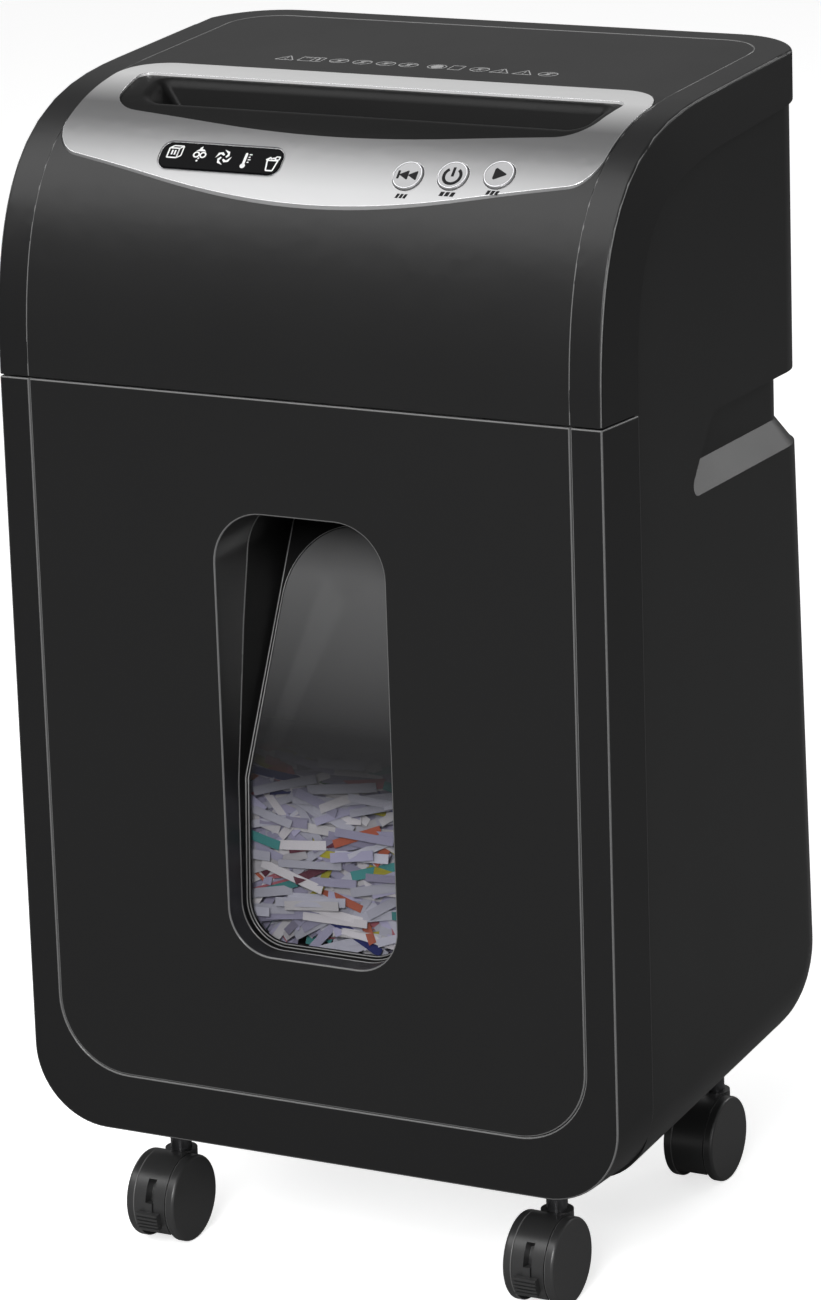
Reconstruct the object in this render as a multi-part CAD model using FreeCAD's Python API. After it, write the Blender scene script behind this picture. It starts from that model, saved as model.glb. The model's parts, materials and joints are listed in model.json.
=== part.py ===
"""Cross-cut paper shredder on four twin-wheel casters, with a pull-out bin.

Frame: +X to the right of a person facing the machine, +Y to the back, +Z up.
The origin is on the floor, below the middle of the machine.  Millimetres.
Each STEP file in parts/ is one named piece.
"""
import FreeCAD, Part
import math
import os

from FreeCAD import Vector

# ---------------------------------------------------------------- driving dimensions
WIDTH = 345.0                 # the front face
DEPTH = 270.0                 # front face to the back's widest point
BASE_Z = 71.0                 # underside of the drawer front
SEAM_Z = 478.4                # joint between the drawer front and the head
SEAM_GAP = 1.0
WALL = 3.0                    # moulded shells
SKIRT_PROUD = 3.0             # the cover's side skirt stands this far out of the side panels
BAND = 17.4                   # width of the raised border round the front and top panels
SLOT_LEFT = -98.0             # the paper slot is off centre, and takes the 210 mm edge of an A4 sheet
SLOT_RIGHT = 118.0
SLOT_GAP = 7.0
SHAFT_SPACING = 38.0          # between the two cutter shafts
WHEEL_R = 23.5

FRONT = -DEPTH / 2
BACK = DEPTH / 2
HALF_W = WIDTH / 2
FINE = 0.4                    # clearance between pieces of one body
RUN = 0.3                     # clearance between pieces of different bodies

# ---------------------------------------------------------------- head outline, side view
CROWN = [(FRONT, 482.4), (FRONT, 607.3), (FRONT + 67.1, 617.8), (FRONT + 132.3, 621.3)]
CROWN_RISE = math.tan(math.radians(3.1))
COVER_BACK = BACK - 11.0
COVER_EDGE_R = 1.8            # soft edge between the crown and the sides and back
COVER_CORNER_R = 45.0         # rear corners, seen from above
CREASE = [(FRONT + 35.5, 491.0), (FRONT + 35.5, 576.0), (FRONT + 75.0, 588.0), (FRONT + 135.0, 594.0)]
CREASE_END = (BACK + 10.0, 604.5)
PANEL_BACK = BACK - 27.0      # rear edge of the inner top panel
PANEL_CORNER_R = 27.0
CURVE_STEPS = 8

# silver control plate and paper entry, measured back from the front
FASCIA_HALF = 154.5
FASCIA_TIP = 13.5
FASCIA_SIDE = 34.0
FASCIA_REAR = 123.0
FUNNEL_HALF = 137.5
FUNNEL_FRONT = 67.0
FUNNEL_REAR = 101.0
FUNNEL_TOP_Z = 630.0
FUNNEL_FOOT_Z = 584.0
FUNNEL_LIP_R = 7.0            # soft edge where the funnel opens onto the throat's top face
BUTTONS = [("rev_button", 52.8, 32.5), ("power_button", 77.4, 33.8), ("fwd_button", 102.2, 35.6)]
BUTTON_R = 8.3
LENS = (-55.3, 34.5, 70.6, 16.4, 6.0)     # middle, distance from the front, length, width, corner

# ---------------------------------------------------------------- casing, side view
CASE_FRONT = FRONT + 36.3
UNDERSIDE_SLOPE = math.radians(4.85)
REAR_BEND = 52.0              # bend between underside and back
REAR_LEAN = math.radians(3.1)
LEAN_TOP_Z = 440.0            # the back is upright above this height, inside the hand recess
SIDE_BEND = 36.0              # bend between the sides and the underside or back
CASE_TOP = 640.0
PANEL_SPLIT = 134.0           # side panels meet the back panel and base here
BASE_SPLIT_Z = 165.0

GRIP_Z0 = 419.0
GRIP_LEDGE_Z = 432.0
GRIP_Z1 = 459.0
GRIP_DEPTH = 10.0

# ---------------------------------------------------------------- drawer
SLAB_BACK = FRONT + 35.7
SLAB_TOP = SEAM_Z - SEAM_GAP
FRONT_CORNER_R = 42.0
INNER_CORNER_R = 40.0
WINDOW_HALF = 49.0
WINDOW_Z0 = BASE_Z + 109.5
WINDOW_Z1 = BASE_Z + 346.0
WINDOW_BOTTOM_R = 24.0
WINDOW_TOP_R = 28.0
LIP_LINE = [(FRONT + 12.0, 160.0), (FRONT + 15.0, 269.0), (FRONT + 27.0, 353.0), (FRONT + 41.0, 425.0)]
GLASS_LINE = [(FRONT + 16.0, 160.0), (FRONT + 22.0, 269.0), (FRONT + 82.0, 391.0), (FRONT + 99.0, 425.0)]
POCKET_WALL = 2.5
GLASS_RIM = 2.0               # the pocket's frame round the window
GLASS_Z1 = 392.0
GLASS_TOP_R = 36.0
BIN_HALF = 140.0
BIN_BACK = 92.0
BIN_Z0 = 100.0
BIN_Z1 = 450.0
RUNNER_Z = 199.3

# ---------------------------------------------------------------- cutting unit
SLOT_Y = FRONT + 86.0
CUT_Z = 545.0
FRONT_SHAFT = (SLOT_Y - SHAFT_SPACING / 2, CUT_Z)
REAR_SHAFT = (SLOT_Y + SHAFT_SPACING / 2, CUT_Z)
IDLER = (REAR_SHAFT[0] + 48.0, CUT_Z - 14.0)
MOTOR = (IDLER[0] + 45.0, IDLER[1] + 24.0)
DISC_R = 21.0
SPACER_R = 16.0
DISC_PITCH = 8.0
DISC_THICK = 3.8
DISC_COUNT = 28
PLATE_X = 121.0
PLATE_THICK = 4.0
SHAFT_R = 8.0
CUTTER_TEETH = 19
DRIVE_TEETH = 36
PINION_TEETH = 14
IDLER_TEETH = 56
MOTOR_TEETH = 12
CUTTER_MODULE = 2.0
MOTOR_MODULE = 1.5
MOTOR_R = 32.0
DECK_Z = 480.0

# ---------------------------------------------------------------- casters
CASTER_X = 113.0
CASTER_FRONT_Y = FRONT + 47.0
CASTER_REAR_Y = FRONT + 240.0
CASTER_TRAIL = 12.6
CASTER_STEM_R = 5.7
HOOD_HALF = 9.2
WEB_HALF = 6.2                # the hood's middle web, which holds the stem and the axle
WHEEL_OUT = 14.7
TREAD_R = 20.3
HOOD_TOP = 2 * WHEEL_R - 2.6
SOCKET_R = 9.0
SOCKET_TOP = 96.0

# cord gland in the back
GLAND_X = 100.0
GLAND_Z = 505.0
GLAND_R = 6.5
CORD_R = 4.0


# ================================================================ helpers
def box(x0, x1, y0, y1, z0, z1):
    return Part.makeBox(x1 - x0, y1 - y0, z1 - z0, Vector(x0, y0, z0))


def rod(start, direction, radius, length):
    return Part.makeCylinder(radius, length, Vector(*start), Vector(*direction))


def side_rod(yz, radius, x0, x1):
    """A cylinder along X, centred on a (y, z) place."""
    return rod((x0, yz[0], yz[1]), (1, 0, 0), radius, x1 - x0)


def outline(corners, place):
    """A closed wire through (a, b, radius) corners, each rounded by a tangent arc."""
    count = len(corners)
    stops = []
    for i, (a, b, radius) in enumerate(corners):
        here = Vector(a, b, 0)
        before = (Vector(corners[i - 1][0], corners[i - 1][1], 0) - here).normalize()
        after_a, after_b, _ = corners[(i + 1) % count]
        after = (Vector(after_a, after_b, 0) - here).normalize()
        if radius <= 0:
            stops.append((here, here, here))
            continue
        half = before.getAngle(after) / 2
        reach = radius / math.tan(half)
        middle = (before + after).normalize() * (radius / math.sin(half) - radius)
        stops.append((here + before * reach, here + middle, here + after * reach))
    edges = []
    for i, (enter, middle, leave) in enumerate(stops):
        if enter.distanceToPoint(leave) > 1e-6:
            arc = Part.Arc(place(enter.x, enter.y), place(middle.x, middle.y), place(leave.x, leave.y))
            edges.append(arc.toShape())
        following = stops[(i + 1) % count][0]
        if leave.distanceToPoint(following) > 1e-6:
            edges.append(Part.LineSegment(place(leave.x, leave.y), place(following.x, following.y)).toShape())
    return Part.Wire(edges)


def prism_x(corners, x0, x1):
    """Corners are (y, z, radius)."""
    wire = outline(corners, lambda a, b: Vector(x0, a, b))
    return Part.Face(wire).extrude(Vector(x1 - x0, 0, 0))


def prism_y(corners, y0, y1):
    """Corners are (x, z, radius)."""
    wire = outline(corners, lambda a, b: Vector(a, y0, b))
    return Part.Face(wire).extrude(Vector(0, y1 - y0, 0))


def prism_z(corners, z0, z1):
    """Corners are (x, y, radius)."""
    wire = outline(corners, lambda a, b: Vector(a, b, z0))
    return Part.Face(wire).extrude(Vector(0, 0, z1 - z0))


def mirrored(right_side):
    """A left-right symmetric outline from its right-hand corners, listed in order."""
    left = [(-a, b, radius) for a, b, radius in reversed(right_side) if a > 0]
    return right_side + left


def union(shapes):
    result = shapes[0]
    for shape in shapes[1:]:
        result = result.fuse(shape)
    return result


def save(name, shape):
    """Writes one node, and stops if a solid in it isn't sound."""
    solids = shape.Solids
    if not solids or not all(solid.isValid() for solid in solids):
        raise ValueError("bad solid in " + name)
    result = solids[0] if len(solids) == 1 else Part.makeCompound(solids)
    result.exportStep("parts/" + name + ".step")
    bounds = result.BoundBox
    print("%-22s solids %2d  volume %9.0f  x %.1f..%.1f  y %.1f..%.1f  z %.1f..%.1f" % (
        name, len(solids), result.Volume, bounds.XMin, bounds.XMax,
        bounds.YMin, bounds.YMax, bounds.ZMin, bounds.ZMax))


# ================================================================ curves of the head
def bezier(poles, t):
    """The point and the unit tangent of a cubic Bezier curve at t."""
    (y0, z0), (y1, z1), (y2, z2), (y3, z3) = poles
    s = 1 - t
    y = s ** 3 * y0 + 3 * s * s * t * y1 + 3 * s * t * t * y2 + t ** 3 * y3
    z = s ** 3 * z0 + 3 * s * s * t * z1 + 3 * s * t * t * z2 + t ** 3 * z3
    dy = s * s * (y1 - y0) + 2 * s * t * (y2 - y1) + t * t * (y3 - y2)
    dz = s * s * (z1 - z0) + 2 * s * t * (z2 - z1) + t * t * (z3 - z2)
    size = math.hypot(dy, dz)
    return y, z, dy / size, dz / size


def curve_edge(poles, inset, x):
    """The Bezier curve moved inwards (down and back), as one edge in the plane at x."""
    points = []
    for i in range(CURVE_STEPS + 1):
        y, z, dy, dz = bezier(poles, i / CURVE_STEPS)
        points.append(Vector(x, y + dz * inset, z - dy * inset))
    spline = Part.BSplineCurve()
    first = bezier(poles, 0)
    last = bezier(poles, 1)
    spline.interpolate(Points=points, InitialTangent=Vector(0, first[2], first[3]),
                       FinalTangent=Vector(0, last[2], last[3]))
    return spline.toShape(), points[0], points[-1]


def line(start, end):
    return Part.LineSegment(start, end).toShape()


def crown_wire(inset, x, back):
    """The head's side outline: up the front, over the crown, and straight down at the back."""
    curve, start, end = curve_edge(CROWN, inset, x)
    foot = Vector(x, start.y, SEAM_Z)
    top_back = Vector(x, back, end.z + (back - end.y) * CROWN_RISE)
    heel = Vector(x, back, SEAM_Z)
    return Part.Wire([line(foot, start), curve, line(end, top_back), line(top_back, heel), line(heel, foot)])


def crease_wire(inset, x, back):
    """The outline inside the crease, where the cover's skirt ends and the side panel starts."""
    curve, start, end = curve_edge(CREASE, inset, x)
    foot = Vector(x, start.y, SEAM_Z)
    slope = (CREASE_END[1] - CREASE[3][1]) / (CREASE_END[0] - CREASE[3][0])
    top_back = Vector(x, back, end.z + (back - end.y) * slope)
    heel = Vector(x, back, SEAM_Z)
    return Part.Wire([line(foot, start), curve, line(end, top_back), line(top_back, heel), line(heel, foot)])


def under_crown(inset, half=HALF_W, back=BACK + 5):
    """Everything below the crown surface moved inwards by inset."""
    return Part.Face(crown_wire(inset, -half, back)).extrude(Vector(2 * half, 0, 0))


def crown_skin(outer, inner):
    """A layer that follows the crown surface, between two insets."""
    return under_crown(outer).cut(under_crown(inner))


def crown_place(depth):
    """The point on the crown at a distance behind the front face, and its outward normal."""
    low, high = 0.0, 1.0
    for _ in range(40):
        middle = (low + high) / 2
        if bezier(CROWN, middle)[0] < FRONT + depth:
            low = middle
        else:
            high = middle
    y, z, dy, dz = bezier(CROWN, low)
    return Vector(0, y, z), Vector(0, -dz, dy)


# ================================================================ casing
def bend_centre():
    """The centre of the bend between the underside and the back."""
    y = BACK - REAR_BEND
    a = UNDERSIDE_SLOPE
    below = BASE_Z + (y + REAR_BEND * math.sin(a) - CASE_FRONT) * math.tan(a)
    return y, below + REAR_BEND * math.cos(a)


def upright_back():
    """Where the upright part of the back stands, above its leaning part."""
    y, z = bend_centre()
    start_y = y + REAR_BEND * math.cos(REAR_LEAN)
    start_z = z + REAR_BEND * math.sin(REAR_LEAN)
    return start_y - (LEAN_TOP_Z - start_z) * math.tan(REAR_LEAN)


def lower_body(inset):
    """The casing below LEAN_TOP_Z as a closed body, moved inwards by inset."""
    centre_y, centre_z = bend_centre()
    radius = REAR_BEND - inset
    half = HALF_W - inset

    def on_bend(angle):
        return Vector(-half, centre_y + radius * math.cos(angle), centre_z + radius * math.sin(angle))

    bend_in = on_bend(UNDERSIDE_SLOPE - math.pi / 2)
    bend_out = on_bend(REAR_LEAN)
    start_y = FRONT + 10 - inset
    top_z = LEAN_TOP_Z + inset
    start = Vector(-half, start_y, bend_in.z - (bend_in.y - start_y) * math.tan(UNDERSIDE_SLOPE))
    top_back = Vector(-half, bend_out.y - (top_z - bend_out.z) * math.tan(REAR_LEAN), top_z)
    top_front = Vector(-half, start_y, top_z)
    wire = Part.Wire([
        line(start, bend_in),
        Part.Arc(bend_in, on_bend(-math.pi / 4), bend_out).toShape(),
        line(bend_out, top_back),
        line(top_back, top_front),
        line(top_front, start),
    ])
    body = Part.Face(wire).extrude(Vector(2 * half, 0, 0))
    chain = []
    for edge in body.Edges:
        at_side = all(abs(abs(vertex.X) - half) < 1e-6 for vertex in edge.Vertexes)
        same_side = abs(edge.Vertexes[0].X - edge.Vertexes[-1].X) < 1e-6
        middle = edge.CenterOfMass
        on_lid = abs(middle.z - top_z) < 1e-3
        on_front = abs(middle.y - start_y) < 1e-3
        if at_side and same_side and not on_lid and not on_front:
            chain.append(edge)
    return body.makeFillet(SIDE_BEND - inset, chain)


def plan_corners(inset):
    """The upright part of the casing seen from above."""
    half = HALF_W - inset
    radius = SIDE_BEND - inset
    back = upright_back() - inset
    return [(half, back, radius), (-half, back, radius),
            (-half, FRONT + 10 - inset, 0), (half, FRONT + 10 - inset, 0)]


def grip_recess():
    """The hand recess: a channel round the back and sides with a sloped lower ledge."""
    low = outline(plan_corners(0.0), lambda a, b: Vector(a, b, GRIP_Z0))
    high = outline(plan_corners(GRIP_DEPTH), lambda a, b: Vector(a, b, GRIP_LEDGE_Z))
    core = prism_z(plan_corners(GRIP_DEPTH), GRIP_LEDGE_Z, GRIP_Z1 + 1)
    reach = box(-HALF_W - 5, HALF_W + 5, FRONT + 20, BACK + 5, GRIP_Z0, GRIP_Z1)
    reach = reach.cut(Part.makeLoft([low, high], True, True)).cut(core)
    end = prism_x([(FRONT + 97, GRIP_Z0, 6), (FRONT + 127, GRIP_Z1, 12),
                   (BACK + 20, GRIP_Z1, 0), (BACK + 20, GRIP_Z0, 0)], -HALF_W - 6, HALF_W + 6)
    return reach.common(end)


def make_casing():
    lower = lower_body(0.0).common(box(-HALF_W - 5, HALF_W + 5, CASE_FRONT, BACK + 9, 0, LEAN_TOP_Z))
    lower_room = lower_body(WALL)
    upper = prism_z(plan_corners(0.0), LEAN_TOP_Z, CASE_TOP)
    upper_room = prism_z(plan_corners(WALL), LEAN_TOP_Z - 1, CASE_TOP + 1)
    front_edge = box(-HALF_W - 5, HALF_W + 5, CASE_FRONT, BACK + 9, 0, SEAM_Z)
    under_crease = Part.Face(crease_wire(FINE, -HALF_W - 5, BACK + 9)).extrude(Vector(WIDTH + 10, 0, 0))
    upper = upper.common(front_edge.fuse(under_crease))
    pad = prism_x([(FRONT + 92, GRIP_Z0 - WALL, 6), (FRONT + 124, GRIP_Z1 + WALL, 12),
                   (BACK + 20, GRIP_Z1 + WALL, 0), (BACK + 20, GRIP_Z0 - WALL, 0)], -HALF_W - 7, HALF_W + 7)
    inner = prism_z(plan_corners(GRIP_DEPTH + WALL), GRIP_Z0 - 10, GRIP_Z1 + 10)
    recess = grip_recess()

    def piece(region):
        """The part of the moulded shell inside a region, with its stretch of the hand recess."""
        low = lower.common(region)
        high = upper.common(region)
        layers = [low.cut(lower_room), low.common(pad).cut(inner)]
        layers += [high.cut(upper_room), high.common(pad).cut(inner)]
        return union([layer for layer in layers if layer.Volume > 1]).cut(recess)

    far = HALF_W + 10
    for name, x0, x1 in (("left_side_panel", -far, -PANEL_SPLIT), ("right_side_panel", PANEL_SPLIT, far)):
        save(name, piece(box(x0, x1, FRONT, BACK + 5, 0, CASE_TOP)))
    middle = PANEL_SPLIT - FINE
    rear = piece(box(-middle, middle, 0, BACK + 5, BASE_SPLIT_Z + FINE, CASE_TOP))
    vents = []
    for i in range(9):
        x = -104.0 + 8.0 * i
        slot = [(x - 1.6, 528, 1.5), (x + 1.6, 528, 1.5), (x + 1.6, 575, 1.5), (x - 1.6, 575, 1.5)]
        vents.append(prism_y(slot, 60, BACK + 5))
    rear = rear.cut(Part.makeCompound(vents)).cut(rod((GLAND_X, 60, GLAND_Z), (0, 1, 0), GLAND_R + 0.1, 90))
    save("rear_panel", rear)
    base = piece(box(-middle, middle, CASE_FRONT, BACK + 5, 0, BASE_SPLIT_Z))
    for x, y in caster_places():
        base = base.cut(rod((x, y, 50), (0, 0, 1), SOCKET_R + 0.1, 80))
    save("base_tray", base)


# ================================================================ head covers
def fascia_corners(shrink):
    """The silver plate seen from above: round at the sides, with a wide front sweep."""
    half = FASCIA_HALF - shrink
    rear = FRONT + FASCIA_REAR - shrink
    side = FRONT + FASCIA_SIDE + shrink
    return [(half, side, 16.0), (half, rear, 26.0), (-half, rear, 26.0), (-half, side, 16.0),
            (0.0, FRONT + FASCIA_TIP + shrink, 700.0)]


def throat_corners(shrink):
    """The paper entry seen from above."""
    rear = FRONT + 103.0 - shrink
    side = FRONT + 61.0 + shrink
    return [(141.0 - shrink, rear, 6.0), (-141.0 + shrink, rear, 6.0), (-135.0 + shrink, side, 20.0),
            (0.0, FRONT + 45.5 + shrink, 600.0), (135.0 - shrink, side, 20.0)]


def cover_plan(inset):
    half = HALF_W + SKIRT_PROUD - inset
    radius = COVER_CORNER_R - inset
    back = COVER_BACK - inset
    return prism_z([(half, back, radius), (-half, back, radius), (-half, FRONT - 5, 0), (half, FRONT - 5, 0)],
                   SEAM_Z - 10, 700)


def surface_prism(x, depth, length, width, radius, low, high):
    """A rounded bar that stands square on the crown surface: length along X, width across it."""
    origin, normal = crown_place(depth)
    across = Vector(1, 0, 0).cross(normal) * -1
    half_l = length / 2
    half_w = width / 2

    def place(a, b):
        return Vector(x + a, 0, 0) + origin + across * b + normal * low

    wire = outline([(-half_l, -half_w, radius), (half_l, -half_w, radius),
                    (half_l, half_w, radius), (-half_l, half_w, radius)], place)
    return Part.Face(wire).extrude(normal * (high - low))


def surface_rod(x, depth, radius, low, high):
    """A cylinder that stands square on the crown surface."""
    origin, normal = crown_place(depth)
    start = Vector(x, 0, 0) + origin + normal * low
    return Part.makeCylinder(radius, high - low, start, normal)


def on_crown(point):
    """Whether a point lies on the unmoved crown surface."""
    if point.y > CROWN[3][0]:
        return abs(point.z - CROWN[3][1] - (point.y - CROWN[3][0]) * CROWN_RISE) < 0.05
    near, normal = crown_place(point.y - FRONT)
    return abs((Vector(0, point.y, point.z) - near).dot(normal)) < 0.05


def mouth_edges(throat):
    """The front and side edges where the funnel opens onto the throat's top face."""
    edges = []
    for edge in throat.Edges:
        middle = edge.valueAt((edge.FirstParameter + edge.LastParameter) / 2)
        inside = abs(middle.x) < FUNNEL_HALF - 3 and FRONT + FUNNEL_FRONT < middle.y < FRONT + FUNNEL_REAR - 6
        if inside and on_crown(middle + Vector(0, 0, 0.5)):
            edges.append(edge)
    return edges


def make_head_covers():
    skirts = []
    for side in (-1, 1):
        high = crown_wire(0.0, side * HALF_W, BACK + 5)
        low = crease_wire(0.0, side * (HALF_W + SKIRT_PROUD), BACK + 5)
        skirts.append(Part.makeLoft([high, low], True, True))
    body = union([under_crown(0.0)] + skirts).common(cover_plan(0.0))
    skyline = []
    for edge in body.Edges:
        middle = edge.valueAt((edge.FirstParameter + edge.LastParameter) / 2)
        outer = abs(middle.x) > HALF_W - 60 or middle.y > COVER_BACK - 1
        if outer and on_crown(middle):
            skyline.append(edge)
    body = body.makeFillet(COVER_EDGE_R, skyline)
    hollow = under_crown(WALL, HALF_W - WALL).common(cover_plan(WALL + SKIRT_PROUD))
    below = Part.Face(crease_wire(0.0, -HALF_W - 9, BACK + 9)).extrude(Vector(WIDTH + 18, 0, 0))
    shell = body.cut(hollow).cut(below)

    def inner_region(shrink):
        half = HALF_W - BAND - shrink
        back = PANEL_BACK - shrink
        return prism_z([(half, back, PANEL_CORNER_R), (-half, back, PANEL_CORNER_R),
                        (-half, FRONT - 5, 0), (half, FRONT - 5, 0)], SEAM_Z - 5, 700)

    save("top_cover_frame", shell.cut(inner_region(0.0)))
    panel = crown_skin(0.0, WALL).common(inner_region(FINE / 2))
    panel = panel.cut(prism_z(fascia_corners(-FINE / 2), 480, 700).common(crown_skin(-5.0, 1.4)))
    panel = panel.cut(prism_z(fascia_corners(9.0), 480, 700))
    x, depth, length, width, radius = LENS
    panel = panel.cut(surface_prism(x, depth, length + 2, width + 2, radius + 1, -8, 6))
    for _, x_button, depth_button in BUTTONS:
        panel = panel.cut(surface_rod(x_button, depth_button, BUTTON_R + 1.0, -8, 6))
    save("top_cover_panel", panel)

    plate = prism_z(fascia_corners(0.0), 480, 700).common(crown_skin(-0.8, 1.2))
    plate = plate.cut(prism_z(throat_corners(0.0), 480, 700))
    plate = plate.cut(surface_prism(x, depth, length, width, radius, -8, 6))
    for _, x_button, depth_button in BUTTONS:
        plate = plate.cut(surface_rod(x_button, depth_button, BUTTON_R + RUN, -8, 6))
    save("control_fascia", plate)

    lens = surface_prism(x, depth, length - FINE, width - FINE, radius - FINE / 2, -3.2, 1.1)
    save("indicator_lens", lens)
    for name, x_button, depth_button in BUTTONS:
        cap = surface_rod(x_button, depth_button, BUTTON_R, -3.0, 1.6)
        stem = surface_rod(x_button, depth_button, 3.0, -9.0, -2.5)
        save(name, cap.fuse(stem))

    slot_rear = SLOT_Y + SLOT_GAP / 2
    slot_front = SLOT_Y - SLOT_GAP / 2

    def funnel(grow):
        wide = FUNNEL_HALF + grow
        rear = FRONT + FUNNEL_REAR + grow
        front = FRONT + FUNNEL_FRONT - grow
        mouth = [(wide, rear, 5.0), (wide, front, 9.0), (-wide, front, 9.0), (-wide, rear, 5.0)]
        left = SLOT_LEFT - grow
        right = SLOT_RIGHT + grow
        foot = [(right, slot_rear + grow, 2.0), (right, slot_front - grow, 2.0),
                (left, slot_front - grow, 2.0), (left, slot_rear + grow, 2.0)]
        high = outline(mouth, lambda a, b: Vector(a, b, FUNNEL_TOP_Z))
        low = outline(foot, lambda a, b: Vector(a, b, FUNNEL_FOOT_Z))
        return Part.makeLoft([high, low], True, True)

    block = under_crown(0.5).common(prism_z(throat_corners(FINE / 2), 480, 700))
    throat = block.common(crown_skin(-9.0, 3.5).fuse(funnel(2.5)))
    slot = prism_z([(SLOT_RIGHT, slot_rear, 0), (SLOT_RIGHT, slot_front, 0),
                    (SLOT_LEFT, slot_front, 0), (SLOT_LEFT, slot_rear, 0)], 570, 590)
    throat = throat.cut(funnel(0.0)).cut(slot).removeSplitter()
    save("feed_throat", throat.makeFillet(FUNNEL_LIP_R, mouth_edges(throat)))


# ================================================================ head electronics
def make_electronics():
    board = surface_prism(0.0, 38.0, 236.0, 24.0, 2.0, -13.6, -12.0)
    save("control_board", board)
    leds = []
    for i in range(5):
        x = LENS[0] - 28.0 + 14.0 * i
        leds.append(surface_prism(x, LENS[1] + 1.5, 5.0, 5.0, 1.0, -11.9, -4.0))
    save("indicator_leds", Part.makeCompound(leds))
    pieces = [
        box(12, 112, 8, 98, DECK_Z + 9, DECK_Z + 10.6),
        rod((36, 34, DECK_Z + 10.7), (0, 0, 1), 11.0, 30.0),
        box(60, 84, 20, 48, DECK_Z + 10.7, DECK_Z + 30),
        box(60, 88, 60, 90, DECK_Z + 10.7, DECK_Z + 36),
        box(20, 48, 62, 88, DECK_Z + 10.7, DECK_Z + 24),
        rod((100, 34, DECK_Z + 10.7), (0, 0, 1), 6.0, 22.0),
    ]
    for x in (18, 106):
        for y in (14, 92):
            pieces.append(rod((x, y, DECK_Z + 3.1), (0, 0, 1), 3.0, 5.8))
    save("power_board", Part.makeCompound(pieces))
    eyes = []
    for side in (-1, 1):
        y = SLOT_Y + side * 12.0
        eyes.append(box(-7, 7, y - 4.5, y + 4.5, 572, 582))
    save("paper_sensor", Part.makeCompound(eyes))
    case = box(149, 163, SLAB_BACK + 5, SLAB_BACK + 17, DECK_Z - 14, DECK_Z - 0.1)
    plunger = rod((156, SLAB_BACK + 0.6, DECK_Z - 7), (0, 1, 0), 1.8, 6)
    save("drawer_switch", case.fuse(plunger))


# ================================================================ cutting unit
def involute(angle):
    return math.tan(angle) - angle


def gear(centre, teeth, module, x0, x1, phase, bore):
    """A spur gear along X with involute flanks.  A tooth points along phase, from +Y towards +Z."""
    pitch = module * teeth / 2
    base = pitch * math.cos(math.radians(20))
    tip = pitch + 0.9 * module
    root = pitch - 1.2 * module
    half_at_pitch = (math.pi * module / 4 - 0.09 * module) / pitch
    flank = []
    for i in range(4):
        radius = max(base, root) + (tip - max(base, root)) * i / 3
        pressure = math.acos(min(1.0, base / radius))
        flank.append((radius, half_at_pitch + involute(math.radians(20)) - involute(pressure)))
    flank.insert(0, (root, flank[0][1]))
    points = []
    for tooth in range(teeth):
        middle = phase + 2 * math.pi * tooth / teeth
        for radius, half in flank:
            points.append((radius, middle - half))
        for radius, half in reversed(flank):
            points.append((radius, middle + half))
    ring = [Vector(x0, centre[0] + r * math.cos(a), centre[1] + r * math.sin(a)) for r, a in points]
    body = Part.Face(Part.makePolygon(ring + [ring[0]])).extrude(Vector(x1 - x0, 0, 0))
    return body.cut(side_rod(centre, bore, x0 - 1, x1 + 1))


def cutter(centre, first_disc, left_end, right_end):
    """A solid cutter shaft: thin toothed discs with spacers between, and turned ends."""
    x_start = -DISC_PITCH * DISC_COUNT / 2 - 2.0
    x_stop = DISC_PITCH * DISC_COUNT / 2 + 3.0
    points = [(left_end, 0), (left_end, SHAFT_R), (x_start, SHAFT_R), (x_start, SPACER_R)]
    for i in range(DISC_COUNT):
        x = first_disc + DISC_PITCH * i
        points += [(x, SPACER_R), (x, DISC_R), (x + DISC_THICK, DISC_R), (x + DISC_THICK, SPACER_R)]
    points += [(x_stop, SPACER_R), (x_stop, SHAFT_R), (right_end, SHAFT_R), (right_end, 0)]
    corners = [Vector(x, centre[0] + r, centre[1]) for x, r in points]
    face = Part.Face(Part.makePolygon(corners + [corners[0]]))
    body = face.revolve(Vector(0, centre[0], centre[1]), Vector(1, 0, 0), 360)
    notches = []
    for i in range(6):
        angle = math.pi / 3 * i
        tip = [(DISC_R - 3.2, 0.0), (DISC_R + 1.5, 0.32), (DISC_R + 1.5, -0.04)]
        ring = [Vector(x_start - 1, centre[0] + r * math.cos(angle + a), centre[1] + r * math.sin(angle + a))
                for r, a in tip]
        outline = Part.Face(Part.makePolygon(ring + [ring[0]]))
        notches.append(outline.extrude(Vector(x_stop - x_start + 2, 0, 0)))
    return body.cut(Part.makeCompound(notches))


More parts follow.
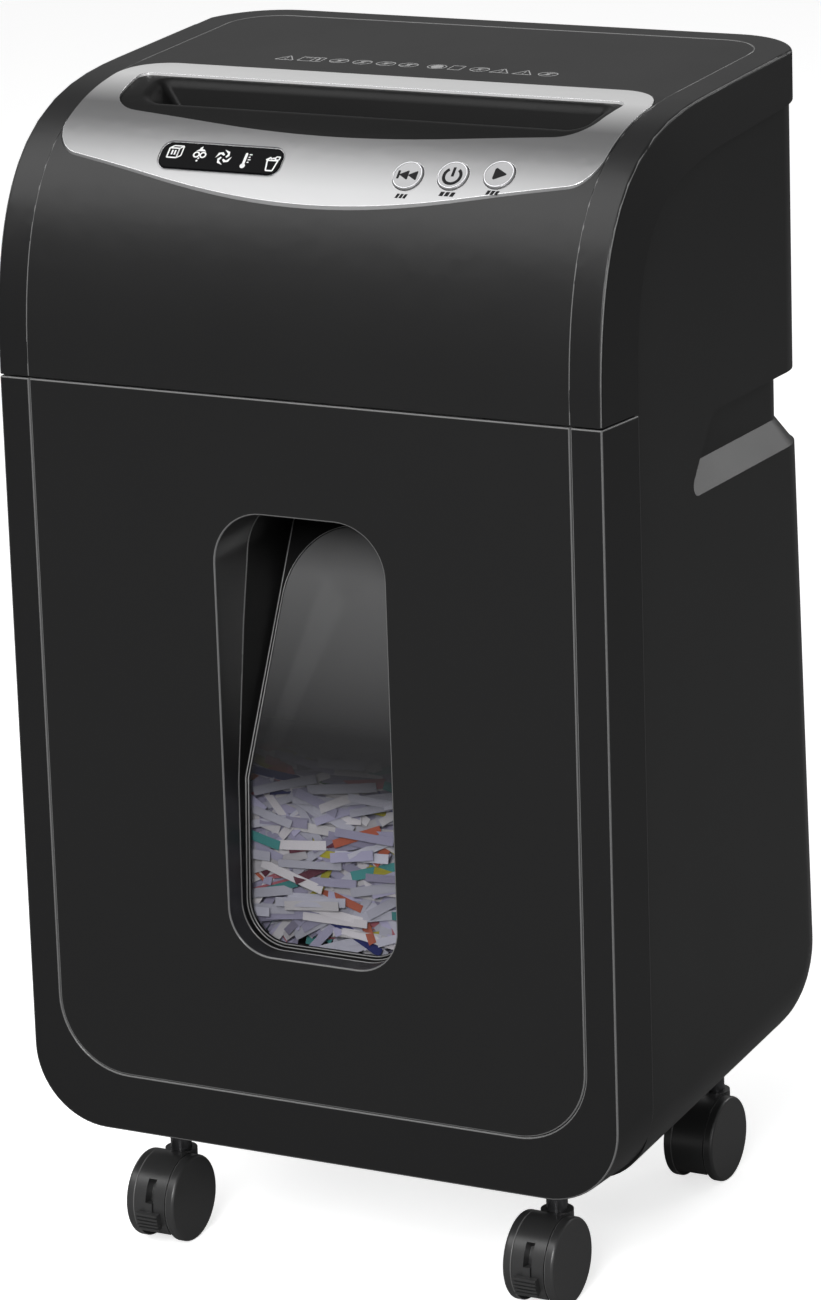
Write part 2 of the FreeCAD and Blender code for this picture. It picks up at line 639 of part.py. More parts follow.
def make_cutting_unit():
    chute = [(118, SLOT_Y + 42, 6), (-118, SLOT_Y + 42, 6), (-118, SLOT_Y - 42, 6), (118, SLOT_Y - 42, 6)]
    deck_plan = [(168.6, 113, 30), (-168.6, 113, 30), (-168.6, CASE_FRONT + 2, 0), (168.6, CASE_FRONT + 2, 0)]
    deck = prism_z(deck_plan, DECK_Z, DECK_Z + WALL)
    save("head_deck", deck.cut(prism_z(chute, DECK_Z - 1, DECK_Z + WALL + 1)))

    rods_at = [(-84.0, 500.0), (-10.0, 500.0), (0.0, 580.0), (-88.0, 566.0)]
    foot_z = DECK_Z + WALL
    left = prism_x([(-94, foot_z, 0), (102, foot_z, 0), (102, 590, 14), (60, 600, 20),
                    (-30, 588, 20), (-94, 572, 10)], -PLATE_X - PLATE_THICK, -PLATE_X)
    right = prism_x([(-94, foot_z, 0), (8, foot_z, 0), (8, 592, 8), (-30, 588, 20), (-94, 572, 10)],
                    PLATE_X, PLATE_X + PLATE_THICK)
    bush_r = SHAFT_R + 4.0
    for place in (FRONT_SHAFT, REAR_SHAFT):
        hole = side_rod(place, bush_r + 0.02, -200, 200)
        left = left.cut(hole)
        right = right.cut(hole)
    left = left.cut(side_rod(MOTOR, 10.0, -200, 0))
    left = left.cut(side_rod(IDLER, 5.02, -200, 0))
    for place in rods_at:
        hole = side_rod(place, 3.02, -200, 200)
        left = left.cut(hole)
        right = right.cut(hole)
    save("cutter_end_plates", Part.makeCompound([left, right]))

    rods = []
    for place in rods_at:
        bar = side_rod(place, 5.0, -PLATE_X, PLATE_X)
        bar = bar.fuse(side_rod(place, 3.0, -PLATE_X - PLATE_THICK - 3, PLATE_X + PLATE_THICK + 3))
        rods.append(bar)
    save("tie_rods", Part.makeCompound(rods))

    bushes = []
    for place in (FRONT_SHAFT, REAR_SHAFT):
        for x0, x1 in ((-PLATE_X - PLATE_THICK, -PLATE_X + 2), (PLATE_X - 2, PLATE_X + PLATE_THICK)):
            bore = side_rod(place, SHAFT_R + 0.05, x0 - 1, x1 + 1)
            bushes.append(side_rod(place, bush_r, x0, x1).cut(bore))
    save("shaft_bushes", Part.makeCompound(bushes))

    combs = []
    for side, place, first in ((-1, FRONT_SHAFT, -110.0), (1, REAR_SHAFT, -114.0)):
        bar_y = place[0] + side * 25.5
        bar = box(-PLATE_X, PLATE_X, bar_y - 2.5, bar_y + 2.5, CUT_Z - 8, CUT_Z + 8)
        fingers = []
        for i in range(DISC_COUNT - 1):
            x = first + DISC_PITCH * i + DISC_THICK + 0.6
            y0, y1 = sorted((place[0] + side * 17.5, bar_y))
            fingers.append(box(x, x + DISC_PITCH - DISC_THICK - 1.2, y0, y1, CUT_Z - 6, CUT_Z + 6))
        combs.append(bar.multiFuse(fingers))
    save("stripper_combs", Part.makeCompound(combs))

    save("cutter_shaft_front", cutter(FRONT_SHAFT, -110.0, -137.0, 129.0))
    save("cutter_shaft_rear", cutter(REAR_SHAFT, -114.0, -147.0, 129.0))
    half_tooth = math.pi / CUTTER_TEETH
    save("cutter_gear_front", gear(FRONT_SHAFT, CUTTER_TEETH, CUTTER_MODULE, -136.0, -128.0, 0.0, SHAFT_R))
    save("cutter_gear_rear",
         gear(REAR_SHAFT, CUTTER_TEETH, CUTTER_MODULE, -136.0, -128.0, math.pi + half_tooth, SHAFT_R))
    to_idler = math.atan2(IDLER[1] - REAR_SHAFT[1], IDLER[0] - REAR_SHAFT[0])
    to_motor = math.atan2(MOTOR[1] - IDLER[1], MOTOR[0] - IDLER[0])
    save("drive_gear", gear(REAR_SHAFT, DRIVE_TEETH, CUTTER_MODULE, -146.5, -138.0, to_idler, SHAFT_R))
    small = gear(IDLER, PINION_TEETH, CUTTER_MODULE, -148.0, -137.0,
                 to_idler + math.pi + math.pi / PINION_TEETH, 5.05)
    big = gear(IDLER, IDLER_TEETH, MOTOR_MODULE, -156.0, -148.0, to_motor, 5.05)
    save("intermediate_gear", small.fuse(big))
    save("intermediate_axle", side_rod(IDLER, 5.0, -159.0, -PLATE_X))
    pinion = gear(MOTOR, MOTOR_TEETH, MOTOR_MODULE, -157.0, -147.0,
                  to_motor + math.pi + math.pi / MOTOR_TEETH, 3.0)
    axle = side_rod(MOTOR, 3.0, -159.0, -4.0)
    fan = side_rod(MOTOR, 7.0, -14.0, -5.0)
    blades = []
    for i in range(8):
        blade = box(-13.0, -6.0, MOTOR[0] - 0.8, MOTOR[0] + 0.8, MOTOR[1] + 5, MOTOR[1] + 24)
        blade.rotate(Vector(0, MOTOR[0], MOTOR[1]), Vector(1, 0, 0), 45.0 * i)
        blades.append(blade)
    save("motor_rotor", pinion.fuse(axle).fuse(fan).multiFuse(blades))
    can = side_rod(MOTOR, MOTOR_R, -PLATE_X, -24.0).fuse(side_rod(MOTOR, 12.0, -24.0, -18.0))
    save("motor_can", can.cut(side_rod(MOTOR, 3.1, -200, 0)))


# ================================================================ drawer
def front_corners(grow):
    """The drawer front seen from the front, with rounded lower corners."""
    half = HALF_W + grow
    radius = FRONT_CORNER_R + grow
    return [(half, BASE_Z - min(grow, 0), radius), (half, SLAB_TOP + min(grow, 0), 0),
            (-half, SLAB_TOP + min(grow, 0), 0), (-half, BASE_Z - min(grow, 0), radius)]


def window_corners(grow):
    half = WINDOW_HALF + grow
    return [(half, WINDOW_Z0 - grow, WINDOW_BOTTOM_R + grow), (half, WINDOW_Z1 + grow, WINDOW_TOP_R + grow),
            (-half, WINDOW_Z1 + grow, WINDOW_TOP_R + grow), (-half, WINDOW_Z0 - grow, WINDOW_BOTTOM_R + grow)]


def ahead_of(path, shift, y_front):
    """The space in front of a slanted line in the side view."""
    corners = [(y + shift, z, 0) for y, z in path]
    corners += [(y_front, path[-1][1], 0), (y_front, path[0][1], 0)]
    return prism_x(corners, -80, 80)


def glass_outline(shrink):
    half = WINDOW_HALF - GLASS_RIM - shrink
    low = WINDOW_Z0 + GLASS_RIM + shrink
    high = GLASS_Z1 - shrink
    corner = WINDOW_BOTTOM_R - GLASS_RIM
    return [(half, low, corner), (half, high, GLASS_TOP_R), (-half, high, GLASS_TOP_R), (-half, low, corner)]


def make_drawer():
    near = outline(front_corners(0.0), lambda a, b: Vector(a, FRONT, b))
    far = outline(front_corners(SKIRT_PROUD), lambda a, b: Vector(a, SLAB_BACK, b))
    outer = Part.makeLoft([near, far], True, True)
    inner = prism_y(front_corners(-WALL), FRONT + WALL, SLAB_BACK + 1)
    half = HALF_W - BAND
    low = BASE_Z + 31.7

    def region(shrink):
        return prism_y([(half - shrink, low + shrink, INNER_CORNER_R), (half - shrink, SLAB_TOP + 5, 0),
                        (-half + shrink, SLAB_TOP + 5, 0), (-half + shrink, low + shrink, INNER_CORNER_R)],
                       FRONT - 1, FRONT + WALL)

    save("drawer_front_frame", outer.cut(inner).cut(region(0.0)))
    panel = region(FINE / 2).common(box(-200, 200, FRONT, FRONT + WALL, 0, SLAB_TOP))
    panel = panel.cut(prism_y(window_corners(0.0), FRONT - 2, FRONT + 10))
    lip = prism_y(window_corners(POCKET_WALL), FRONT + WALL - 0.5, FRONT + 60)
    lip = lip.cut(prism_y(window_corners(0.0), FRONT - 2, FRONT + 61))
    lip = lip.common(ahead_of(LIP_LINE, 0.0, FRONT - 5))
    save("drawer_front_panel", panel.fuse(lip))

    tube = prism_y(window_corners(POCKET_WALL), FRONT, FRONT + 110)
    tube = tube.common(ahead_of(GLASS_LINE, POCKET_WALL, FRONT))
    hollow = prism_y(window_corners(0.0), FRONT - 1, FRONT + 111)
    hollow = hollow.common(ahead_of(GLASS_LINE, 0.0, FRONT - 1))
    pocket = tube.cut(hollow).cut(ahead_of(LIP_LINE, FINE / 2, FRONT - 1))
    pocket = pocket.cut(prism_y(glass_outline(0.0), FRONT, FRONT + 111))
    save("handle_pocket", pocket)
    glass = ahead_of(GLASS_LINE, 2.3, FRONT).cut(ahead_of(GLASS_LINE, 0.2, FRONT - 1))
    save("bin_window", glass.common(prism_y(glass_outline(FINE / 2), FRONT, FRONT + 111)))

    hole = prism_y(window_corners(POCKET_WALL + FINE), FRONT, FRONT + 120)
    liner = prism_y(front_corners(-WALL - FINE), SLAB_BACK - 2.5, SLAB_BACK)
    save("drawer_liner", liner.cut(hole))

    bin_front = SLAB_BACK + 0.1
    wall = 2.5
    plan = [(BIN_HALF, BIN_BACK, 18), (-BIN_HALF, BIN_BACK, 18),
            (-BIN_HALF, bin_front, 6), (BIN_HALF, bin_front, 6)]
    room = [(BIN_HALF - wall, BIN_BACK - wall, 15.5), (-BIN_HALF + wall, BIN_BACK - wall, 15.5),
            (-BIN_HALF + wall, bin_front + wall, 3.5), (BIN_HALF - wall, bin_front + wall, 3.5)]
    basket = prism_z(plan, BIN_Z0, BIN_Z1).cut(prism_z(room, BIN_Z0 + wall, BIN_Z1 + 1)).cut(hole)
    for side in (-1, 1):
        x0, x1 = sorted((side * (BIN_HALF - 0.5), side * 162.0))
        basket = basket.fuse(box(x0, x1, bin_front, BIN_BACK - 20, RUNNER_Z, RUNNER_Z + 3))
    save("bin_basket", basket)

    rails = []
    for side in (-1, 1):
        x0, x1 = sorted((side * 146.0, side * (HALF_W - WALL - 0.1)))
        rails.append(box(x0, x1, CASE_FRONT + 2, 96, RUNNER_Z - RUN - 3, RUNNER_Z - RUN))
    save("drawer_rails", Part.makeCompound(rails))


# ================================================================ back fittings
def make_back_fittings():
    back = upright_back()
    flange = rod((GLAND_X, back + 0.1, GLAND_Z), (0, 1, 0), 10.0, 4.0)
    barrel = rod((GLAND_X, back - 8.0, GLAND_Z), (0, 1, 0), GLAND_R, 12.0)
    nut = rod((GLAND_X, back - 8.0, GLAND_Z), (0, 1, 0), 9.5, 4.5)
    gland = flange.fuse(barrel).fuse(nut).cut(rod((GLAND_X, back - 9, GLAND_Z), (0, 1, 0), CORD_R, 20))
    save("cord_gland", gland)
    screws = []
    for x in (-124.0, 124.0):
        for z in (190.0, 340.0, 500.0, 585.0):
            y = back + max(0.0, LEAN_TOP_Z - z) * math.tan(REAR_LEAN) + 0.35
            head = rod((x, y, z), (0, 1, 0), 4.0, 1.4)
            cross = box(x - 0.5, x + 0.5, y + 0.5, y + 2, z - 2.4, z + 2.4)
            cross = cross.fuse(box(x - 2.4, x + 2.4, y + 0.5, y + 2, z - 0.5, z + 0.5))
            screws.append(head.cut(cross))
    save("casing_screws", Part.makeCompound(screws))


# ================================================================ casters


def caster_places():
    return [(-CASTER_X, CASTER_FRONT_Y), (CASTER_X, CASTER_FRONT_Y),
            (-CASTER_X, CASTER_REAR_Y), (CASTER_X, CASTER_REAR_Y)]


def sector(centre, x0, x1, radius, start, stop):
    """A pie slice along X, from one angle to another; 0 is +Y and 90 is +Z."""
    steps = 8
    ring = [Vector(x0, centre[0], centre[1])]
    for i in range(steps + 1):
        angle = math.radians(start + (stop - start) * i / steps)
        ring.append(Vector(x0, centre[0] + radius * math.cos(angle), centre[1] + radius * math.sin(angle)))
    return Part.Face(Part.makePolygon(ring + [ring[0]])).extrude(Vector(x1 - x0, 0, 0))


def make_casters():
    stems = []
    sockets = []
    names = ("front_left", "front_right", "rear_left", "rear_right")
    for name, (x, y) in zip(names, caster_places()):
        braked = name.startswith("front")
        socket_foot = BASE_Z - 1.0 if braked else 78.0
        socket_top = SOCKET_TOP if braked else 112.0
        socket = rod((x, y, socket_foot), (0, 0, 1), SOCKET_R, socket_top - socket_foot)
        sockets.append(socket.cut(rod((x, y, 0), (0, 0, 1), CASTER_STEM_R, socket_top - 3)))
        stem = rod((x, y, 30.0), (0, 0, 1), CASTER_STEM_R, socket_top - 33.0)
        stems.append(stem.fuse(rod((x, y, socket_foot - 4.5), (0, 0, 1), CASTER_STEM_R + 2.0, 4.0)))

        axle = (y - CASTER_TRAIL, WHEEL_R)
        drum = side_rod(axle, WHEEL_R, x - HOOD_HALF, x + HOOD_HALF)
        inside = side_rod(axle, TREAD_R + 0.7, x - HOOD_HALF - 1, x + HOOD_HALF + 1)
        web = side_rod(axle, TREAD_R + 0.8, x - WEB_HALF, x + WEB_HALF)
        hood = drum.cut(inside).fuse(web)
        hood = hood.cut(sector(axle, x - 30, x + 30, 60, -138, -42))
        neck = rod((x, y, 27.0), (0, 0, 1), CASTER_STEM_R + 3.0, HOOD_TOP - 27.0 + 2.0)
        clear = side_rod(axle, TREAD_R + 0.7, x - 30, x - WEB_HALF)
        clear = clear.fuse(side_rod(axle, TREAD_R + 0.7, x + WEB_HALF, x + 30))
        hood = hood.fuse(neck.cut(clear))
        hood = hood.cut(rod((x, y, 29.9), (0, 0, 1), CASTER_STEM_R + 0.06, 40))
        hood = hood.cut(side_rod(axle, 3.0, x - 30, x + 30))
        if braked:
            slot = sector(axle, x - 2.4, x + 2.4, 60, 140, 208)
            hood = hood.cut(slot.cut(side_rod(axle, 17.0, x - 30, x + 30)))
        save("caster_hood_" + name, hood)
        save("caster_axle_" + name, side_rod(axle, 3.0, x - 13.0, x + 13.0))
        for side, label in ((-1, "left"), (1, "right")):
            x_in = x + side * (WEB_HALF + 0.3)
            x_step = x + side * (HOOD_HALF + 0.3)
            x_out = x + side * WHEEL_OUT
            tread = side_rod(axle, TREAD_R, min(x_in, x_step), max(x_in, x_step))
            rim = side_rod(axle, WHEEL_R, min(x_step, x_out), max(x_step, x_out))
            outside = [edge for edge in rim.Edges
                       if abs(edge.BoundBox.XMin - x_out) < 0.01 and abs(edge.BoundBox.XMax - x_out) < 0.01]
            rim = rim.makeFillet(1.8, outside)
            bore = sorted((x_in - side, x + side * 13.1))
            wheel = tread.fuse(rim).cut(side_rod(axle, 3.05, bore[0], bore[1]))
            save("wheel_%s_%s" % (name, label), wheel)
        if braked:
            arm = sector(axle, x - 2.1, x + 2.1, 24.6, 172, 206).cut(side_rod(axle, 17.4, x - 30, x + 30))
            pad = sector(axle, x - 6.5, x + 6.5, 27.6, 184, 205)
            pad = pad.cut(side_rod(axle, WHEEL_R + 0.4, x - 30, x + 30))
            for i in range(4):
                rib = sector(axle, x - 6.6, x + 6.6, 30, 186.5 + 4.6 * i, 188.5 + 4.6 * i)
                pad = pad.cut(rib.cut(side_rod(axle, 26.7, x - 30, x + 30)))
            save("brake_lever_" + name, arm.fuse(pad))
    save("caster_stems", Part.makeCompound(stems))
    save("caster_sockets", Part.makeCompound(sockets))


os.makedirs("parts", exist_ok=True)
make_casing()
make_head_covers()
make_electronics()
make_cutting_unit()
make_drawer()
make_back_fittings()
make_casters()
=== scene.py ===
# %% [markdown]
# # A paper shredder, dressed for its portrait
# The design comes in as a fixed frame: every moulding, gear and caster already has its true size and place.
# What is left is how things look, so this lesson adds finishes, softened edges and the small printed and
# moulded detail. First the frame is loaded.

# %% Load the frame
import json
import math
import random

import bmesh
import bpy
from mathutils import Matrix, Vector


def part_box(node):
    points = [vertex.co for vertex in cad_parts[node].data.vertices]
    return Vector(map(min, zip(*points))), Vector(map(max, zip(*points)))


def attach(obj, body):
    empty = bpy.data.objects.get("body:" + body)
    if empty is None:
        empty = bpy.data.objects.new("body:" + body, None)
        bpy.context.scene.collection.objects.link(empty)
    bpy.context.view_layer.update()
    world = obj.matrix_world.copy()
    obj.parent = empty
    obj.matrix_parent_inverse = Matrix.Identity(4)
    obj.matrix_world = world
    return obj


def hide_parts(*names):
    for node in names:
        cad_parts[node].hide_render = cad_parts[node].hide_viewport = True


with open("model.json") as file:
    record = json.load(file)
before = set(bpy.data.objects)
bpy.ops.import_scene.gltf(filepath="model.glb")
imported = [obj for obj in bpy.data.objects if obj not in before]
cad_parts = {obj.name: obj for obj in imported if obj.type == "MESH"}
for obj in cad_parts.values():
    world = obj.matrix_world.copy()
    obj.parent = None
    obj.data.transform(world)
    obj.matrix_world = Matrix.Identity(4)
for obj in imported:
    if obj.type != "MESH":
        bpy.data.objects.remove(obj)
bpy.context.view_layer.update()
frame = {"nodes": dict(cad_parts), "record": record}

nodes = frame["nodes"]

# %% [markdown]
# Every later size hangs on a few places on the real object. They are read from the frame where it has them,
# and the head's crown, a smooth curve that runs up the front and over the top, is written as the four control
# points of a Bezier curve.

# %% Key places
front_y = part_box("drawer_front_frame")[0].y
base_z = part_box("drawer_front_frame")[0].z
seam_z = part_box("top_cover_panel")[0].z
CROWN_START_Z = 0.4824
crown = [(front_y, CROWN_START_Z), (front_y, 0.6073), (front_y + 0.0671, 0.6178), (front_y + 0.1323, 0.6213)]
CROWN_RISE = math.tan(math.radians(3.1))


def crown_at(depth):
    """The point (y, z) on the crown at a depth behind the front, and the unit tangent there."""
    if depth > crown[3][0] - front_y:
        run = front_y + depth - crown[3][0]
        size = math.hypot(1, CROWN_RISE)
        return front_y + depth, crown[3][1] + run * CROWN_RISE, 1 / size, CROWN_RISE / size
    low, high = 0.0, 1.0
    for _ in range(40):
        t = (low + high) / 2
        s = 1 - t
        weights = (s ** 3, 3 * s * s * t, 3 * s * t * t, t ** 3)
        if sum(w * p[0] for w, p in zip(weights, crown)) < front_y + depth:
            low = t
        else:
            high = t
    y = sum(w * p[0] for w, p in zip(weights, crown))
    z = sum(w * p[1] for w, p in zip(weights, crown))
    slopes = (s * s, 2 * s * t, t * t)
    dy = sum(w * (crown[i + 1][0] - crown[i][0]) for i, w in enumerate(slopes))
    dz = sum(w * (crown[i + 1][1] - crown[i][1]) for i, w in enumerate(slopes))
    size = math.hypot(dy, dz)
    return y, z, dy / size, dz / size


def on_crown(x, depth, lift=0.0):
    """A point at x and a depth behind the front, lifted square off the crown."""
    y, z, dy, dz = crown_at(depth)
    return Vector((x, y - dz * lift, z + dy * lift))


print("front at", round(front_y, 4), "seam at", round(seam_z, 4))

# %% [markdown]
# ## Camera
# The camera stands to the right of the machine and above it, a long way back with a long lens, so upright
# edges lean together only a little. It is turned by yaw, pitch and a slight roll.

# %% Camera
YAW = 0.497
PITCH = 0.276
ROLL = -0.033
camera_data = bpy.data.cameras.new("camera")
camera_data.lens = 153.97
camera_data.sensor_width = 36.0
camera = bpy.data.objects.new("camera", camera_data)
bpy.context.scene.collection.objects.link(camera)
ahead = Vector((-math.sin(YAW) * math.cos(PITCH), math.cos(YAW) * math.cos(PITCH), -math.sin(PITCH)))
level = Vector((math.cos(YAW), math.sin(YAW), 0))
above = level.cross(ahead)
right = level * math.cos(ROLL) + above * math.sin(ROLL)
up = above * math.cos(ROLL) - level * math.sin(ROLL)
turn = Matrix((right, up, -ahead)).transposed().to_4x4()
camera.matrix_world = Matrix.Translation((1.3417, -2.4930, 1.1149)) @ turn
bpy.context.scene.camera = camera
print("camera", tuple(round(v, 3) for v in camera.location))

# %% [markdown]
# ## Studio
# Black plastic shows little but what it reflects, so the lights are large soft panels. One overhead lightens
# the top and rolls off down the curved head, and a strong one in front lights the fascia. A tall strip on
# each side picks out the edges. Of the two at the back, the bar lights the ledge of the hand grip, and the
# low sky brightens the strip behind the slot. The world is white to the eye and grey to the plastic.

# %% Floor, lights and world
FLOOR_GLOW = 0.8
floor_mesh = bpy.data.meshes.new("floor")
bm = bmesh.new()
bmesh.ops.create_grid(bm, x_segments=1, y_segments=1, size=6.0)
bm.to_mesh(floor_mesh)
bm.free()
floor = bpy.data.objects.new("floor", floor_mesh)
bpy.context.scene.collection.objects.link(floor)
floor_finish = bpy.data.materials.new("pale_floor")
floor_finish.use_nodes = True
tree = floor_finish.node_tree
tree.nodes["Principled BSDF"].inputs["Roughness"].default_value = 0.9
tree.nodes["Principled BSDF"].inputs["Specular IOR Level"].default_value = 0.1
path = tree.nodes.new("ShaderNodeLightPath")
paint = tree.nodes.new("ShaderNodeMix")
paint.data_type = "RGBA"
paint.inputs["A"].default_value = (0.30, 0.30, 0.30, 1)
paint.inputs["B"].default_value = (0.88, 0.88, 0.88, 1)
tree.links.new(path.outputs["Is Camera Ray"], paint.inputs["Factor"])
tree.links.new(paint.outputs["Result"], tree.nodes["Principled BSDF"].inputs["Base Color"])
tree.links.new(paint.outputs["Result"], tree.nodes["Principled BSDF"].inputs["Emission Color"])
glow = tree.nodes.new("ShaderNodeMath")
glow.operation = "MULTIPLY"
glow.inputs[1].default_value = FLOOR_GLOW
tree.links.new(path.outputs["Is Camera Ray"], glow.inputs[0])
tree.links.new(glow.outputs[0], tree.nodes["Principled BSDF"].inputs["Emission Strength"])
floor_mesh.materials.append(floor_finish)


def add_panel_light(name, place, aim, size_x, size_y, power):
    """A soft rectangular studio light that faces a point."""
    data = bpy.data.lights.new(name, "AREA")
    data.shape = "RECTANGLE"
    data.size = size_x
    data.size_y = size_y
    data.energy = power
    light = bpy.data.objects.new(name, data)
    light.location = place
    direction = Vector(aim) - Vector(place)
    light.rotation_euler = direction.to_track_quat("-Z", "Y").to_euler()
    bpy.context.scene.collection.objects.link(light)
    return light


middle = (0, 0, 0.35)
add_panel_light("overhead", (-1.0, -1.0, 2.4), middle, 2.2, 2.0, 35)
add_panel_light("left_strip", (-2.4, 1.1, 0.8), middle, 0.5, 1.6, 8)
add_panel_light("right_strip", (2.5, -1.3, 0.7), middle, 0.3, 1.2, 6)
add_panel_light("rear_bar", (1.35, 2.85, 1.65), middle, 1.2, 0.7, 12)
add_panel_light("rear_sky", (-1.3, 2.6, 1.9), middle, 1.6, 0.8, 1.1)
add_panel_light("front_key", (0.9, -3.1, 1.9), middle, 1.0, 1.0, 80)

world = bpy.data.worlds.new("studio")
bpy.context.scene.world = world
world.use_nodes = True
tree = world.node_tree
tree.nodes.clear()
seen = tree.nodes.new("ShaderNodeBackground")
seen.inputs["Color"].default_value = (1, 1, 1, 1)
seen.inputs["Strength"].default_value = 1.0
mirrored_world = tree.nodes.new("ShaderNodeBackground")
mirrored_world.inputs["Color"].default_value = (1, 1, 1, 1)
mirrored_world.inputs["Strength"].default_value = 0.2
path = tree.nodes.new("ShaderNodeLightPath")
choose = tree.nodes.new("ShaderNodeMixShader")
world_out = tree.nodes.new("ShaderNodeOutputWorld")
tree.links.new(path.outputs["Is Camera Ray"], choose.inputs[0])
tree.links.new(mirrored_world.outputs[0], choose.inputs[1])
tree.links.new(seen.outputs[0], choose.inputs[2])
tree.links.new(choose.outputs[0], world_out.inputs["Surface"])
bpy.context.scene.view_settings.view_transform = "Standard"

# %% [markdown]
# ## Shared effects
# Moulded plastic is never quite smooth: the mould is spark-eroded, which leaves a fine pebbled grain, and the
# sheen varies a little from place to place. Both come from noise in one node group, which each material uses
# with its own values. A second group settles a faint dust on faces that look upwards.

# %% Node group: moulded grain
def new_group(name, inputs, outputs):
    """An empty shader node group with named float or colour sockets."""
    group = bpy.data.node_groups.new(name, "ShaderNodeTree")
    for socket, kind, value in inputs:
        made = group.interface.new_socket(name=socket, in_out="INPUT", socket_type=kind)
        made.default_value = value
    for socket, kind in outputs:
        group.interface.new_socket(name=socket, in_out="OUTPUT", socket_type=kind)
    group_in = group.nodes.new("NodeGroupInput")
    group_out = group.nodes.new("NodeGroupOutput")
    return group, group_in, group_out


FLOAT = "NodeSocketFloat"
COLOUR = "NodeSocketColor"
grain, g_in, g_out = new_group(
    "moulded_grain",
    [("Scale", FLOAT, 1500.0), ("Sheen low", FLOAT, 0.38), ("Sheen high", FLOAT, 0.46)],
    [("Height", FLOAT), ("Roughness", FLOAT)])
coords = grain.nodes.new("ShaderNodeTexCoord")
pebbles = grain.nodes.new("ShaderNodeTexNoise")
pebbles.inputs["Detail"].default_value = 2.0
patches = grain.nodes.new("ShaderNodeTexNoise")
patches.inputs["Scale"].default_value = 14.0
patches.inputs["Detail"].default_value = 3.0
spread = grain.nodes.new("ShaderNodeMapRange")
grain.links.new(coords.outputs["Object"], pebbles.inputs["Vector"])
grain.links.new(coords.outputs["Object"], patches.inputs["Vector"])
grain.links.new(g_in.outputs["Scale"], pebbles.inputs["Scale"])
grain.links.new(pebbles.outputs["Fac"], g_out.inputs["Height"])
grain.links.new(patches.outputs["Fac"], spread.inputs["Value"])
grain.links.new(g_in.outputs["Sheen low"], spread.inputs["To Min"])
grain.links.new(g_in.outputs["Sheen high"], spread.inputs["To Max"])
grain.links.new(spread.outputs["Result"], g_out.inputs["Roughness"])
print("group", grain.name)

# %% Node group: settled dust
dust, d_in, d_out = new_group(
    "settled_dust",
    [("Clean", COLOUR, (0, 0, 0, 1)), ("Dusty", COLOUR, (0.1, 0.1, 0.1, 1)), ("Amount", FLOAT, 0.3)],
    [("Color", COLOUR)])
facing = dust.nodes.new("ShaderNodeNewGeometry")
split = dust.nodes.new("ShaderNodeSeparateXYZ")
upward = dust.nodes.new("ShaderNodeMapRange")
upward.inputs["From Min"].default_value = 0.3
coords = dust.nodes.new("ShaderNodeTexCoord")
specks = dust.nodes.new("ShaderNodeTexNoise")
specks.inputs["Scale"].default_value = 60.0
specks.inputs["Detail"].default_value = 5.0
weigh = dust.nodes.new("ShaderNodeMath")
weigh.operation = "MULTIPLY"
scale_dust = dust.nodes.new("ShaderNodeMath")
scale_dust.operation = "MULTIPLY"
blend_dust = dust.nodes.new("ShaderNodeMix")
blend_dust.data_type = "RGBA"
dust.links.new(facing.outputs["Normal"], split.inputs[0])
dust.links.new(split.outputs["Z"], upward.inputs["Value"])
dust.links.new(coords.outputs["Object"], specks.inputs["Vector"])
dust.links.new(upward.outputs["Result"], weigh.inputs[0])
dust.links.new(specks.outputs["Fac"], weigh.inputs[1])
dust.links.new(weigh.outputs[0], scale_dust.inputs[0])
dust.links.new(d_in.outputs["Amount"], scale_dust.inputs[1])
dust.links.new(scale_dust.outputs[0], blend_dust.inputs["Factor"])
dust.links.new(d_in.outputs["Clean"], blend_dust.inputs["A"])
dust.links.new(d_in.outputs["Dusty"], blend_dust.inputs["B"])
dust.links.new(blend_dust.outputs["Result"], d_out.inputs["Color"])
print("group", dust.name)

# %% [markdown]
# ## Finishes
# One function builds a plastic or metal from its colour, sheen and grain. Numbers that are the same all over
# a surface stay on the shader's own sockets.

# %% A function for plastics and metals
def finish(name, colour, sheen, grain_scale, grain_depth, metallic=0.0, dusty=0.15, specular=0.5):
    """A material with moulded grain and dust. sheen is the pair (low, high) of roughness."""
    material = bpy.data.materials.new(name)
    material.use_nodes = True
    tree = material.node_tree
    shader = tree.nodes["Principled BSDF"]
    shader.inputs["Metallic"].default_value = metallic
    shader.inputs["Specular IOR Level"].default_value = specular
    texture = tree.nodes.new("ShaderNodeGroup")
    texture.node_tree = grain
    texture.inputs["Scale"].default_value = grain_scale
    texture.inputs["Sheen low"].default_value = sheen[0]
    texture.inputs["Sheen high"].default_value = sheen[1]
    bump = tree.nodes.new("ShaderNodeBump")
    bump.inputs["Strength"].default_value = 0.25
    bump.inputs["Distance"].default_value = grain_depth
    veil = tree.nodes.new("ShaderNodeGroup")
    veil.node_tree = dust
    veil.inputs["Clean"].default_value = (*colour, 1)
    veil.inputs["Dusty"].default_value = (*[c * 0.5 + 0.12 for c in colour], 1)
    veil.inputs["Amount"].default_value = dusty
    tree.links.new(texture.outputs["Height"], bump.inputs["Height"])
    tree.links.new(bump.outputs["Normal"], shader.inputs["Normal"])
    tree.links.new(texture.outputs["Roughness"], shader.inputs["Roughness"])
    tree.links.new(veil.outputs["Color"], shader.inputs["Base Color"])
    return material


